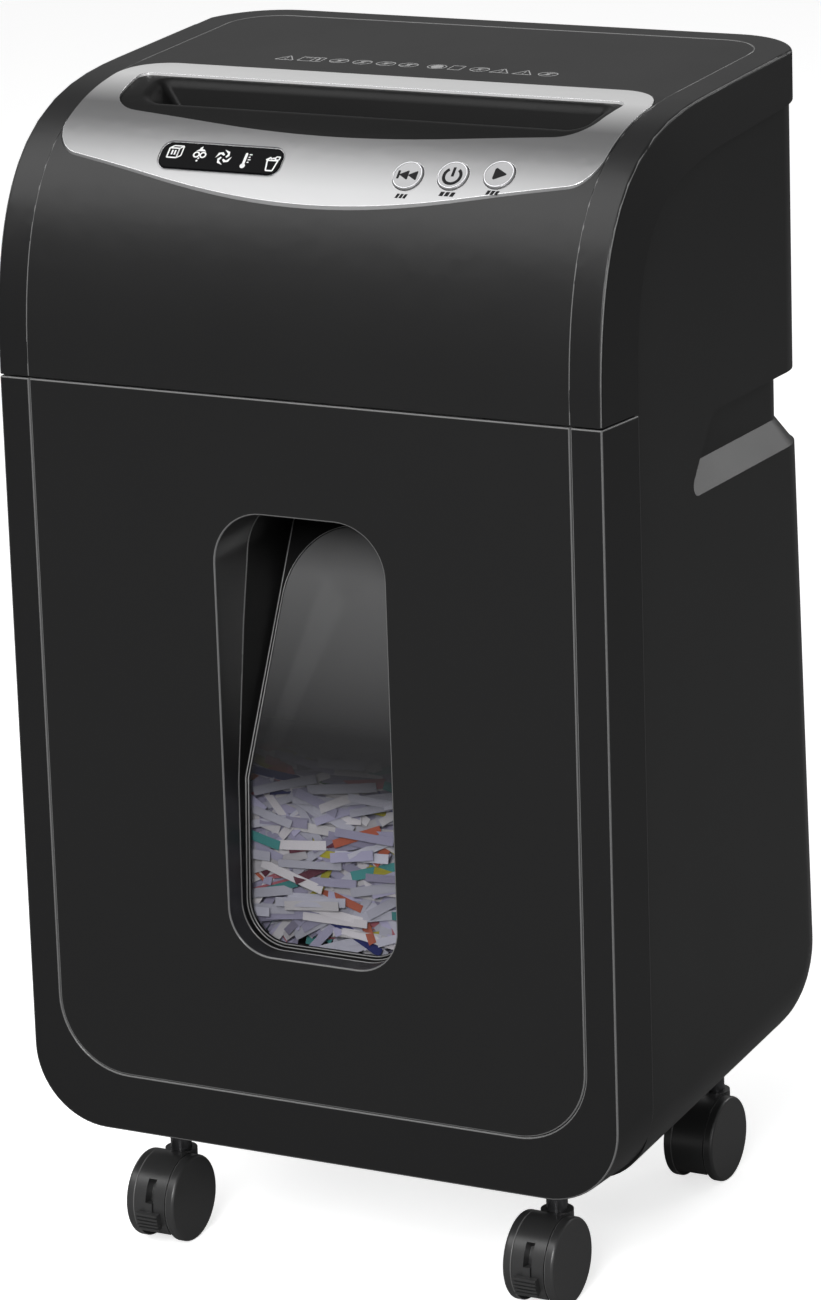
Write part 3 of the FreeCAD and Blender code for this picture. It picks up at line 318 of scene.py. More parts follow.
GRAIN = 0.00001
black_shell = finish("black_shell", (0.0065, 0.0065, 0.0068), (0.36, 0.42), 1600, 4 * GRAIN,
                     specular=0.42, dusty=0.04)
black_panel = finish("black_panel", (0.0078, 0.0078, 0.008), (0.38, 0.44), 2200, 4 * GRAIN,
                     specular=0.42, dusty=0.04)
black_inner = finish("black_inner", (0.005, 0.005, 0.005), (0.45, 0.55), 900, 10 * GRAIN,
                     specular=0.35, dusty=0.02)
throat_black = finish("throat_black", (0.003, 0.003, 0.003), (0.42, 0.5), 1600, 5 * GRAIN,
                      specular=0.25, dusty=0.0)
pocket_black = finish("pocket_black", (0.002, 0.002, 0.002), (0.5, 0.6), 900, 8 * GRAIN,
                      specular=0.2, dusty=0.0)
# A lighter grey for bevel faces and beads: a painted highlight where a rounded edge catches the light.
painted_highlight_grey = finish("painted_highlight_edge", (0.15, 0.15, 0.15), (0.26, 0.3), 1500, GRAIN, dusty=0.0)
# A brighter silver for the fascia's bevel faces: a painted highlight.
silver_painted_highlight = finish("silver_painted_highlight", (0.86, 0.86, 0.87), (0.14, 0.2), 1500, GRAIN, metallic=0.8, dusty=0.0)
nylon_black = finish("nylon_black", (0.03, 0.03, 0.0305), (0.3, 0.4), 1200, 5 * GRAIN,
                     dusty=0.04, specular=0.8)
zinc = finish("zinc_plate", (0.56, 0.56, 0.57), (0.28, 0.4), 500, 3 * GRAIN, metallic=1.0, dusty=0.0)
tool_steel = finish("oiled_steel", (0.3, 0.3, 0.31), (0.22, 0.36), 700, 4 * GRAIN, metallic=1.0, dusty=0.0)
bronze = finish("sintered_bronze", (0.45, 0.3, 0.14), (0.4, 0.5), 2500, 10 * GRAIN, metallic=1.0, dusty=0.0)
natural_nylon = finish("natural_nylon", (0.72, 0.7, 0.62), (0.4, 0.5), 900, 5 * GRAIN)
chrome = finish("chrome", (0.62, 0.62, 0.64), (0.1, 0.16), 600, GRAIN, metallic=1.0, dusty=0.0)
dark_chrome = finish("dark_chrome", (0.09, 0.09, 0.095), (0.2, 0.26), 600, GRAIN, metallic=0.6, dusty=0.0)
board_green = finish("board_green", (0.02, 0.12, 0.05), (0.3, 0.4), 300, 5 * GRAIN)
rubber = finish("soft_rubber", (0.01, 0.01, 0.01), (0.6, 0.7), 800, 10 * GRAIN)
white_print = finish("white_print", (0.78, 0.78, 0.78), (0.5, 0.6), 900, GRAIN, dusty=0.0)
dark_print = finish("dark_print", (0.010, 0.010, 0.011), (0.45, 0.5), 900, GRAIN, dusty=0.0, specular=0.1)
lens_black = finish("lens_black", (0.003, 0.003, 0.0035), (0.2, 0.24), 400, GRAIN / 2,
                    dusty=0.0, specular=0.03)
silver = finish("silver_lacquer", (0.30, 0.30, 0.305), (0.34, 0.4), 3200, 3 * GRAIN, metallic=0.5, dusty=0.0)
silver_key = finish("silver_key", (0.30, 0.30, 0.305), (0.32, 0.38), 2600, 2 * GRAIN, metallic=0.5, dusty=0.0)
print("finishes:", len(bpy.data.materials))

# %% [markdown]
# The fascia's silver lacquer is one finish, but its grey is painted in bands in place of the studio light:
# a painted shade just in front of the throat, and painted highlights along the front edge and on the strip
# behind the slot. A ramp up the height carries the front part, and a step along the depth brings in the
# strip.

# %% Painted light and shade on the fascia
# Greys up the fascia's height: a painted shade in front of the throat, a painted highlight at the front edge.
FASCIA_PAINTED_REFLECTION_TONES = [(0.0, 0.46), (0.22, 0.39), (0.46, 0.27), (0.68, 0.20), (0.84, 0.20), (1.0, 0.26)]
# The strip behind the slot is painted near white: a painted highlight.
STRIP_PAINTED_HIGHLIGHT_TONE = 0.9
STRIP_DEPTH = 0.085
fascia_low, fascia_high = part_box("control_fascia")
tree = silver.node_tree
coords = tree.nodes.new("ShaderNodeTexCoord")
split = tree.nodes.new("ShaderNodeSeparateXYZ")
upward = tree.nodes.new("ShaderNodeMapRange")
upward.inputs["From Min"].default_value = fascia_low.z
upward.inputs["From Max"].default_value = fascia_high.z
tones = tree.nodes.new("ShaderNodeValToRGB")
while len(tones.color_ramp.elements) < len(FASCIA_PAINTED_REFLECTION_TONES):
    tones.color_ramp.elements.new(0.5)
for element, (place, tone) in zip(tones.color_ramp.elements, FASCIA_PAINTED_REFLECTION_TONES):
    element.position = place
    element.color = (tone, tone, tone * 1.01, 1)
backward = tree.nodes.new("ShaderNodeMapRange")
backward.inputs["From Min"].default_value = front_y + STRIP_DEPTH - 0.02
backward.inputs["From Max"].default_value = front_y + STRIP_DEPTH + 0.015
strip = tree.nodes.new("ShaderNodeMix")
strip.data_type = "RGBA"
strip.inputs["B"].default_value = (STRIP_PAINTED_HIGHLIGHT_TONE, STRIP_PAINTED_HIGHLIGHT_TONE, STRIP_PAINTED_HIGHLIGHT_TONE, 1)
tree.links.new(coords.outputs["Object"], split.inputs[0])
tree.links.new(split.outputs["Z"], upward.inputs["Value"])
tree.links.new(split.outputs["Y"], backward.inputs["Value"])
tree.links.new(upward.outputs["Result"], tones.inputs["Fac"])
tree.links.new(tones.outputs["Color"], strip.inputs["A"])
tree.links.new(backward.outputs["Result"], strip.inputs["Factor"])
tree.links.new(strip.outputs["Result"], tree.nodes["Principled BSDF"].inputs["Base Color"])
print("fascia tones:", len(FASCIA_PAINTED_REFLECTION_TONES))

# %% [markdown]
# ## Softened mouldings
# A sharp computer edge never catches light. Each visible CAD moulding is copied, its loose triangles are
# merged into faces, its corners get a fine bevel, and its shading is weighted so that large faces stay flat.
# The bevel faces on some pieces take a lighter grey: a painted highlight along the edge.

# %% A function that softens a moulding
def softened(node, piece_name, materials, width, angle=32.0, segments=2, line_edges=False):
    """A copy of a CAD node with merged faces, bevelled corners and smooth shading."""
    mesh = nodes[node].data.copy()
    mesh.name = piece_name
    mesh.materials.clear()
    for material in materials:
        mesh.materials.append(material)
    bm = bmesh.new()
    bm.from_mesh(mesh)
    bmesh.ops.remove_doubles(bm, verts=bm.verts, dist=0.00002)
    bmesh.ops.dissolve_limit(bm, angle_limit=math.radians(0.4), verts=bm.verts, edges=bm.edges)
    for face in bm.faces:
        face.material_index = 0
        face.smooth = True
    bm.to_mesh(mesh)
    bm.free()
    piece = bpy.data.objects.new(piece_name, mesh)
    bpy.context.scene.collection.objects.link(piece)
    bevel = piece.modifiers.new("soft_edges", "BEVEL")
    bevel.width = width
    bevel.segments = segments
    bevel.limit_method = "ANGLE"
    bevel.angle_limit = math.radians(angle)
    bevel.use_clamp_overlap = True
    bevel.harden_normals = True
    # The second material, a lighter painted highlight, goes on the bevel faces.
    if line_edges:
        bevel.material = 1
    weigh_normals = piece.modifiers.new("flat_faces", "WEIGHTED_NORMAL")
    weigh_normals.keep_sharp = False
    weigh_normals.weight = 80
    return piece


body_of = {node: body for body, members in frame["record"]["behaviour"]["bodies"].items() for node in members}


def dress(node, materials, width, slot, **options):
    """Softens one node, and lets the copy stand for it on the same body."""
    piece = softened(node, node + "_soft", materials, width, **options)
    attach(piece, body_of[node])
    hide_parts(node)
    return piece


# %% Soften the big mouldings
MM = 0.001
for node in ("left_side_panel", "right_side_panel", "rear_panel", "base_tray"):
    dress(node, [black_shell], 0.8 * MM, "black_shell")
# The frames, the drawer panel, the pocket and the fascia get a painted highlight on their bevel faces.
dress("top_cover_frame", [black_shell, painted_highlight_grey], 0.8 * MM, "black_shell", line_edges=True)
dress("drawer_front_frame", [black_shell, painted_highlight_grey], 0.8 * MM, "black_shell", line_edges=True)
dress("top_cover_panel", [black_panel], 0.5 * MM, "black_panel")
dress("drawer_front_panel", [black_panel, painted_highlight_grey], 0.8 * MM, "black_panel", line_edges=True)
dress("handle_pocket", [pocket_black, painted_highlight_grey], 0.5 * MM, "black_inner", line_edges=True)
dress("control_fascia", [silver, silver_painted_highlight], 0.4 * MM, "silver_fascia", line_edges=True)
dress("feed_throat", [throat_black], 0.6 * MM, "black_inner")
dress("indicator_lens", [lens_black], 0.5 * MM, "black_lens")
for node in ("rev_button", "power_button", "fwd_button"):
    dress(node, [silver_key], 0.5 * MM, "silver_button")
for corner in ("front_left", "front_right", "rear_left", "rear_right"):
    dress("caster_hood_" + corner, [nylon_black], 0.4 * MM, "caster_black")
    for side in ("left", "right"):
        # The wheels' bevel faces take the painted highlight grey too.
        dress("wheel_%s_%s" % (corner, side), [nylon_black, painted_highlight_grey], 0.5 * MM, "caster_black",
              line_edges=True)
for corner in ("front_left", "front_right"):
    dress("brake_lever_" + corner, [nylon_black], 0.3 * MM, "caster_black")

# %% [markdown]
# ## Printed and moulded marks
# The keys, the indicator lens and the top carry small marks. On the real machine they are printed inks and
# thin plated rims. Each mark is drawn flat in millimetres, given a little thickness, and then laid on the
# crown or on a key's flat top. A few simple strokes make all of them: a bar, a disc, a ring or part of one,
# and a filled outline.

# %% Simple strokes, drawn flat in millimetres
INK = 0.06
INK_LIFT = 0.00001


def raise_face(bm, points, thickness=INK):
    """A filled outline, raised to a thickness."""
    face = bm.faces.new([bm.verts.new((x, y, 0)) for x, y in points])
    face.normal_update()
    if face.normal.z < 0:
        face.normal_flip()
    raised = bmesh.ops.extrude_face_region(bm, geom=[face], use_keep_orig=True)
    for vert in (v for v in raised["geom"] if isinstance(v, bmesh.types.BMVert)):
        vert.co.z += thickness
    face.normal_flip()


def bar(bm, start, end, width, thickness=INK):
    """A straight stroke with square ends."""
    a, b = Vector(start), Vector(end)
    side = (b - a).normalized()
    side = Vector((-side.y, side.x)) * width / 2
    raise_face(bm, [a - side, b - side, b + side, a + side], thickness)


def disc(bm, centre, radius, thickness=INK, count=24):
    """A round dot."""
    raise_face(bm, [(centre[0] + radius * math.cos(math.tau * i / count),
                     centre[1] + radius * math.sin(math.tau * i / count)) for i in range(count)], thickness)


def arc(bm, centre, radius, width, start, sweep, thickness=INK, squash=1.0):
    """A ring, or a part of one: a short stroke's end face swept about the centre."""
    whole = abs(sweep) >= 360
    turn = math.radians(start)
    way = Vector((math.cos(turn), math.sin(turn), 0))
    inner, outer = radius - width / 2, radius + width / 2
    low = [bm.verts.new(way * inner), bm.verts.new(way * outer)]
    raised = Vector((0, 0, thickness))
    high = [bm.verts.new(way * outer + raised), bm.verts.new(way * inner + raised)]
    section = bm.faces.new(low + high)
    steps = max(6, int(abs(sweep) / 9))
    made = bmesh.ops.spin(bm, geom=[section] + section.edges[:] + section.verts[:], cent=(0, 0, 0),
                          axis=(0, 0, 1), angle=math.radians(sweep), steps=steps, use_duplicate=False)
    grown = set(low + high)
    while True:
        more = {edge.other_vert(v) for v in grown for edge in v.link_edges} - grown
        if not more:
            break
        grown |= more
    if whole:
        bmesh.ops.delete(bm, geom=[f for f in bm.faces if f in set(made["geom_last"]) or f == section],
                         context="FACES_ONLY")
        bmesh.ops.remove_doubles(bm, verts=[v for v in grown if v.is_valid], dist=0.0005)
        grown = {v for v in grown if v.is_valid}
    for vert in grown:
        vert.co.y *= squash
        vert.co.x += centre[0]
        vert.co.y += centre[1]


def lay_on_crown(bm, x, depth, lift, turn=0.0):
    """Lays a flat drawing in millimetres on the crown, at x and a depth behind the front."""
    slope = crown_at(depth)[2]
    spin = Matrix.Rotation(turn, 3, "Z")
    for vert in bm.verts:
        flat = spin @ vert.co
        vert.co = on_crown(x + flat.x * MM, depth + flat.y * MM * slope, lift + flat.z * MM)


def lay_on_key(bm, x, depth, lift):
    """Lays a flat drawing in millimetres on a plane that is square to the crown at one point."""
    centre = on_crown(x, depth, lift)
    dy, dz = crown_at(depth)[2:]
    for vert in bm.verts:
        u, v, w = vert.co
        vert.co = centre + Vector((u, v * dy - w * dz, v * dz + w * dy)) * MM


def finish_marks(bm, name, material, body):
    """Closes a drawing, makes it an object on a body, and gives it one finish."""
    bmesh.ops.recalc_face_normals(bm, faces=bm.faces)
    mesh = bpy.data.meshes.new(name)
    bm.to_mesh(mesh)
    bm.free()
    mesh.materials.append(material)
    piece = bpy.data.objects.new(name, mesh)
    bpy.context.scene.collection.objects.link(piece)
    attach(piece, body)
    return piece


def add_drawing(whole, part):
    """Adds a placed drawing to a bigger one, and drops it."""
    copy = bpy.data.meshes.new("part")
    part.to_mesh(copy)
    part.free()
    whole.from_mesh(copy)
    bpy.data.meshes.remove(copy)


print("strokes ready")

# %% [markdown]
# Where two mouldings of the head meet, the border's rounded edge shows as one thin light line. It runs up the
# front, over the crown and round the back of the inner panel. A second one follows the outer edge of the
# crown. Each is a fine bead: a small six-sided section carried along the edge, in the light grey of a painted
# highlight.

# %% Painted highlight beads on the edges of the head
def bead_along(bm, path, normals, radius):
    """A fine bead: rings of six points along a path, bridged into a tube with capped ends."""
    rings, loops = [], []
    for i, (point, normal) in enumerate(zip(path, normals)):
        before = path[max(0, i - 1)]
        after = path[min(len(path) - 1, i + 1)]
        ahead_dir = (after - before).normalized()
        side = ahead_dir.cross(normal).normalized()
        out = side.cross(ahead_dir).normalized()
        ring = []
        for k in range(6):
            angle = math.tau * k / 6
            ring.append(bm.verts.new(point + (side * math.cos(angle) + out * math.sin(angle)) * radius))
        rings.append(ring)
        loops.append([bm.edges.new((ring[k], ring[(k + 1) % 6])) for k in range(6)])
    for one, following in zip(loops, loops[1:]):
        bmesh.ops.bridge_loops(bm, edges=one + following)
    bm.faces.new(rings[0])
    bm.faces.new(list(reversed(rings[-1])))


def crown_normal(depth):
    dy, dz = crown_at(depth)[2:]
    return Vector((0, -dz, dy))


PANEL_HALF = 0.1551
PANEL_BACK_DEPTH = 0.243
PANEL_ROUND = 0.027
CROWN_HALF = 0.1725
PANEL_BEAD = 0.0005
CROWN_BEAD = 0.0004
EDGE_ROUND = 0.0018
beads = bmesh.new()


def side_run(x, sink=0.0, lean=0.0):
    """Points and normals up one side of the head, from the seam to where the rear corner starts."""
    lean_x, lean_out = math.sin(lean), math.cos(lean)
    points = [Vector((x, front_y + sink, seam_z + 0.0004)), Vector((x, front_y + sink, crown[0][1]))]
    outs = [Vector((lean_x, -lean_out, 0))] * 2
    for depth in [0.0004 * 1.35 ** i for i in range(18)] + [0.066 + 0.0163 * i for i in range(10)]:
        if depth > PANEL_BACK_DEPTH - PANEL_ROUND:
            break
        points.append(on_crown(x, depth, -sink))
        outs.append(crown_normal(depth) * lean_out + Vector((lean_x, 0, 0)))
    return points, outs


BEAD_SINK = 0.0004
left_points, left_outs = side_run(-PANEL_HALF, BEAD_SINK)
right_points, right_outs = side_run(PANEL_HALF, BEAD_SINK)
back_points, back_outs = [], []
for sx, first in ((-1, 180), (1, 90)):
    for i in range(9):
        angle = math.radians(first - 90 * i / 8)
        x = sx * (PANEL_HALF - PANEL_ROUND) + PANEL_ROUND * math.cos(angle)
        depth = PANEL_BACK_DEPTH - PANEL_ROUND + PANEL_ROUND * math.sin(angle)
        back_points.append(on_crown(x, depth, 0.0002 - BEAD_SINK))
        back_outs.append(crown_normal(depth))
bead_along(beads, left_points + back_points + right_points[::-1],
           left_outs + back_outs + right_outs[::-1], PANEL_BEAD)
# The panel bead is painted light grey: a painted highlight.
finish_marks(beads, "panel_painted_highlight_bead", painted_highlight_grey, "casing")
edges = bmesh.new()
edge_x = CROWN_HALF - EDGE_ROUND + EDGE_ROUND * math.sin(math.pi / 4)
edge_sink = EDGE_ROUND - EDGE_ROUND * math.cos(math.pi / 4)
for side in (-1, 1):
    points, outs = side_run(side * edge_x, edge_sink, side * math.pi / 4)
    bead_along(edges, points, outs, CROWN_BEAD)
# The crown beads are a painted highlight too.
finish_marks(edges, "crown_painted_highlight_beads", painted_highlight_grey, "casing")
print("beads laid")

# %% [markdown]
# The three keys read back, power and forward. Each has a bright plated ring pressed round its top edge, and
# below it on the fascia a short printed tab.

# %% Keys: plated rings and printed symbols
KEYS = {"rev": (0.0528, 0.0325), "power": (0.0774, 0.0338), "fwd": (0.1022, 0.0356)}
TABS = {"rev": (0.0526, 0.0250, 6.4), "power": (0.0774, 0.0267, 8.8), "fwd": (0.1018, 0.0283, 7.2)}
DASHES = 3
DASH_SLANT = 0.5
KEY_RADIUS = 8.3
KEY_PROUD = 0.0016
key_symbols = {key: bmesh.new() for key in KEYS}
bm = key_symbols["rev"]
bar(bm, (-5.0, -2.4), (-5.0, 2.4), 1.3)
raise_face(bm, [(-4.3, 0.3), (-4.3, -0.3), (0.0, -2.7), (0.5, -2.4), (0.5, 2.4), (0.0, 2.7)])
raise_face(bm, [(0.6, 0.3), (0.6, -0.3), (4.9, -2.7), (5.4, -2.4), (5.4, 2.4), (4.9, 2.7)])
bm = key_symbols["power"]
arc(bm, (0, -0.6), 4.6, 1.7, 125, 290)
bar(bm, (0, -0.9), (0, 4.6), 1.5)
bm = key_symbols["fwd"]
raise_face(bm, [(4.1, 0.35), (4.1, -0.35), (-1.9, -3.6), (-2.8, -3.0), (-2.8, 3.0), (-1.9, 3.6)])
for key, (x, depth) in KEYS.items():
    lay_on_key(key_symbols[key], x, depth, KEY_PROUD + INK_LIFT)
    finish_marks(key_symbols[key], key + "_symbol", dark_print, key + "_key")
    ring = bmesh.new()
    arc(ring, (0, 0), KEY_RADIUS - 0.65, 0.42, 0, 360, thickness=0.35)
    bmesh.ops.bevel(ring, geom=[e for e in ring.edges if e.calc_face_angle(0) > 1.0], offset=0.09, segments=2,
                    profile=0.5, affect="EDGES", material=-1)
    lay_on_key(ring, x, depth, KEY_PROUD - 0.0001)
    finish_marks(ring, key + "_ring", chrome, key + "_key")
tabs = bmesh.new()
for key, (x, depth, length) in TABS.items():
    part = bmesh.new()
    step = length / DASHES
    half_dash = step * 0.36
    for i in range(DASHES):
        middle_x = (i - (DASHES - 1) / 2) * step
        start, stop = middle_x - half_dash, middle_x + half_dash
        raise_face(part, [(start - DASH_SLANT, -1.2), (stop - DASH_SLANT, -1.2),
                          (stop + DASH_SLANT, 1.2), (start + DASH_SLANT, 1.2)])
    lay_on_crown(part, x, depth, 0.00081)
    add_drawing(tabs, part)
finish_marks(tabs, "key_tabs", dark_print, "casing")
print("keys marked:", len(KEYS))

# %% [markdown]
# The indicator lens is a gloss black strip with a plated rim. Five white pictograms say what is wrong: the
# bin is open, the paper is jammed, the machine is working, the motor is hot, the bin is full.

# %% Lens: plated rim and pictograms
LENS_X = -0.0553
LENS_DEPTH = 0.0345
LENS_PROUD = 0.0011
LENS_LENGTH = 70.6
LENS_WIDTH = 16.4
ICON_SIZE = 1.12


def rounded_outline(half_x, half_y, radius, per_corner=8):
    """The points of a rectangle with round corners, in millimetres."""
    points = []
    for corner, (sx, sy) in enumerate(((1, 1), (-1, 1), (-1, -1), (1, -1))):
        for i in range(per_corner + 1):
            angle = math.radians(90 * corner + 90 * i / per_corner)
            points.append((sx * (half_x - radius) + radius * math.cos(angle),
                           sy * (half_y - radius) + radius * math.sin(angle)))
    return points


def rim_of(points, width, height):
    """A raised rim along an outline, inset from a filled face and opened in the middle."""
    bm = bmesh.new()
    face = bm.faces.new([bm.verts.new((x, y, 0)) for x, y in points])
    bmesh.ops.inset_region(bm, faces=[face], thickness=width, use_even_offset=True, use_boundary=True)
    bmesh.ops.delete(bm, geom=[face], context="FACES_ONLY")
    raised = bmesh.ops.extrude_face_region(bm, geom=bm.faces[:], use_keep_orig=True)
    for vert in (v for v in raised["geom"] if isinstance(v, bmesh.types.BMVert)):
        vert.co.z += height
    bmesh.ops.recalc_face_normals(bm, faces=bm.faces)
    return bm


rim = rim_of(rounded_outline(LENS_LENGTH / 2 + 0.55, LENS_WIDTH / 2 + 0.55, 6.4), 0.8, 0.75)
bmesh.ops.bevel(rim, geom=[e for e in rim.edges if e.calc_face_angle(0) > 1.0], offset=0.22, segments=2,
                profile=0.5, affect="EDGES", material=-1)
lay_on_key(rim, LENS_X, LENS_DEPTH, 0.0004)
finish_marks(rim, "lens_rim", chrome, "casing")
marks = bmesh.new()


def add_icon(draw, x, depth):
    """Draws one pictogram and lays it on the lens."""
    part = bmesh.new()
    draw(part)
    for vert in part.verts:
        vert.co.x *= ICON_SIZE
        vert.co.y *= ICON_SIZE
    rise = (depth - LENS_DEPTH) / crown_at(LENS_DEPTH)[2] / MM
    bmesh.ops.translate(part, verts=part.verts, vec=((x - LENS_X) / MM, rise, 0))
    lay_on_key(part, LENS_X, LENS_DEPTH, LENS_PROUD + 2 * INK_LIFT)
    add_drawing(marks, part)


def frame_of(bm, corners, width):
    """Strokes along a closed chain of corners."""
    for i, corner in enumerate(corners):
        bar(bm, corner, corners[(i + 1) % len(corners)], width)


def open_box(bm):
    frame_of(bm, [(-3.4, -3.8), (1.6, -3.8), (1.6, 1.4), (-3.4, 1.4)], 0.7)
    frame_of(bm, [(1.6, -3.8), (3.6, -2.5), (3.6, 2.6), (1.6, 1.4)], 0.6)
    bar(bm, (-3.4, 1.4), (-1.2, 2.8), 0.6)
    bar(bm, (-1.2, 2.7), (3.6, 2.7), 0.6)
    bar(bm, (-1.5, -2.2), (-1.5, 0.3), 0.8)
    bar(bm, (0.0, -2.2), (0.0, 0.3), 0.8)


def paper_jam(bm):
    arc(bm, (-1.7, -0.4), 1.35, 0.7, 0, 360)
    arc(bm, (1.7, -0.4), 1.35, 0.7, 0, 360)
    raise_face(bm, [(-2.4, 1.6), (2.6, 1.6), (1.2, 2.7), (0.3, 2.7), (0.3, 4.2), (-0.9, 3.3), (-0.9, 2.7)])
    disc(bm, (0, -2.3), 0.45)
    disc(bm, (-0.4, -3.7), 0.5)


def working_fan(bm):
    for i in range(4):
        way = math.radians(90 * i + 20)
        blade = []
        for radius, lag in ((0.9, 0), (2.6, 28), (4.2, 78), (3.9, 34), (2.9, 0), (1.5, -28)):
            angle = way + math.radians(lag)
            blade.append((radius * math.cos(angle), radius * math.sin(angle)))
        raise_face(bm, blade)


def thermometer(bm):
    disc(bm, (-1.3, -3.3), 1.3)
    bar(bm, (-1.3, -3.0), (-1.3, 2.9), 1.3)
    disc(bm, (-1.3, 3.2), 0.65)
    for i in range(4):
        bar(bm, (0.2, -1.2 + i * 1.4), (1.6 if i % 2 else 1.1, -1.2 + i * 1.4), 0.55)


def full_bin(bm):
    frame_of(bm, [(-1.7, -3.8), (1.7, -3.8), (2.7, 1.8), (-2.7, 1.8)], 0.7)
    bar(bm, (-3.4, 1.9), (-1.2, 3.4), 0.8)
    bar(bm, (-1.2, 2.6), (1.0, 3.2), 0.7)
    frame_of(bm, [(1.0, 2.2), (3.0, 2.2), (3.3, 3.9), (1.3, 3.9)], 0.6)


PICTOGRAMS = [(open_box, -0.0824, 0.0363), (paper_jam, -0.0678, 0.0355), (working_fan, -0.0537, 0.0348),
              (thermometer, -0.0397, 0.0343), (full_bin, -0.0253, 0.0334)]
for draw, x, depth in PICTOGRAMS:
    add_icon(draw, x, depth)
finish_marks(marks, "lens_pictograms", white_print, "casing")
print("pictograms:", len(PICTOGRAMS))

# %% [markdown]
# A row of thin grey outlines is printed behind the slot. On a real machine they are safety pictograms. Here
# they are plain rings, triangles and tiles with a dot or a stroke in them, which give the row its rhythm.

# %% Printed row behind the slot
def ring_mark(bm, filled=False):
    arc(bm, (0, 0), 5.2, 0.65, 0, 360, squash=0.8)
    if filled:
        disc(bm, (0, 0), 3.4)
    else:
        bar(bm, (-3.6, -2.8), (3.6, 2.8), 0.65)
        bar(bm, (-1.5, 1.2), (1.8, 1.6), 1.3)
        bar(bm, (-1.2, -1.4), (1.4, -0.9), 0.8)


def triangle_mark(bm):
    frame_of(bm, [(-5.4, -4.0), (5.4, -4.0), (0, 4.6)], 0.65)
    bar(bm, (0, -0.8), (0, 2.2), 0.7)
    disc(bm, (0, -2.4), 0.5)


def tile_mark(bm, wide=False):
    half = 6.6 if wide else 3.4
    frame_of(bm, [(-half, -4.2), (half, -4.2), (half, 4.2), (-half, 4.2)], 0.6)
    if wide:
        bar(bm, (0.8, -4.2), (0.8, 4.2), 0.6)
        bar(bm, (3.7, -2.2), (3.7, 2.6), 1.5)
        bar(bm, (-4.8, 2.6), (-1.2, 2.6), 0.6)


ROW = [(triangle_mark, -80.5, {}), (tile_mark, -65.8, {"wide": True}), (ring_mark, -49.6, {}),
       (ring_mark, -35.8, {}), (ring_mark, -22.0, {}), (ring_mark, -8.7, {}),
       (ring_mark, 8.0, {"filled": True}), (tile_mark, 19.3, {}), (ring_mark, 32.9, {}),
       (triangle_mark, 45.9, {}), (triangle_mark, 59.3, {}), (ring_mark, 73.0, {})]
ROW_DEPTH = 0.1505
ROW_SLANT = 0.000036
row = bmesh.new()
for draw, x, options in ROW:
    part = bmesh.new()
    draw(part, **options)
    lay_on_crown(part, x * MM, ROW_DEPTH - ROW_SLANT * max(0.0, x - 20), 2 * INK_LIFT)
    add_drawing(row, part)
row_print = finish("row_print", (0.42, 0.42, 0.42), (0.5, 0.6), 900, GRAIN, dusty=0.0)
finish_marks(row, "printed_row", row_print, "casing")
print("row marks:", len(ROW))

# %% [markdown]
# ## The pieces that keep their CAD shape
# Gears, shafts, plates and boards are already the right shape. They only need a finish in their slot.

# %% Give the inner pieces their finishes
plain_finishes = {
    "bin_basket": black_inner, "drawer_liner": black_inner, "drawer_rails": black_inner,
    "caster_sockets": black_inner, "stripper_combs": black_inner, "head_deck": black_inner,
    "paper_sensor": black_inner, "drawer_switch": black_inner, "cord_gland": rubber,
    "casing_screws": zinc, "cutter_end_plates": zinc, "tie_rods": zinc, "motor_can": zinc,
    "motor_rotor": zinc, "intermediate_axle": zinc, "shaft_bushes": bronze,
    "cutter_shaft_front": tool_steel, "cutter_shaft_rear": tool_steel, "cutter_gear_front": tool_steel,
    "cutter_gear_rear": tool_steel, "drive_gear": tool_steel, "intermediate_gear": natural_nylon,
    "control_board": board_green, "power_board": board_green, "indicator_leds": white_print,
    "caster_stems": dark_chrome,
}
for corner in ("front_left", "front_right", "rear_left", "rear_right"):
    plain_finishes["caster_axle_" + corner] = zinc
for node, material in plain_finishes.items():
    nodes[node].data.materials.clear()
    nodes[node].data.materials.append(material)
print("finished in place:", len(plain_finishes))

# %% [markdown]
# ## The window
# The window is one clear moulding, smoked from the top down and fading to clear where the shreds show. Its
# tint and its opacity both follow the height of the point, so the fade is part of the sheet. The tint turns a
# lighter grey towards the top: a painted sheen.

# %% Smoked window
window_low, window_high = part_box("bin_window")
FADE_TOP = base_z + 0.222
FADE_FOOT = base_z + 0.196
smoked = bpy.data.materials.new("smoked_window")
smoked.use_nodes = True
tree = smoked.node_tree
shader = tree.nodes["Principled BSDF"]
shader.inputs["Roughness"].default_value = 0.12
coords = tree.nodes.new("ShaderNodeTexCoord")
split = tree.nodes.new("ShaderNodeSeparateXYZ")
tree.links.new(coords.outputs["Object"], split.inputs[0])
fade = tree.nodes.new("ShaderNodeMapRange")
fade.interpolation_type = "SMOOTHSTEP"
fade.inputs["From Min"].default_value = FADE_FOOT - 0.02
fade.inputs["From Max"].default_value = FADE_TOP + 0.01
fade.inputs["To Min"].default_value = 0.04
fade.inputs["To Max"].default_value = 0.97
tree.links.new(split.outputs["Z"], fade.inputs["Value"])
tree.links.new(fade.outputs["Result"], shader.inputs["Alpha"])
tint = tree.nodes.new("ShaderNodeMapRange")
tint.inputs["From Min"].default_value = FADE_TOP
tint.inputs["From Max"].default_value = window_high.z
tree.links.new(split.outputs["Z"], tint.inputs["Value"])
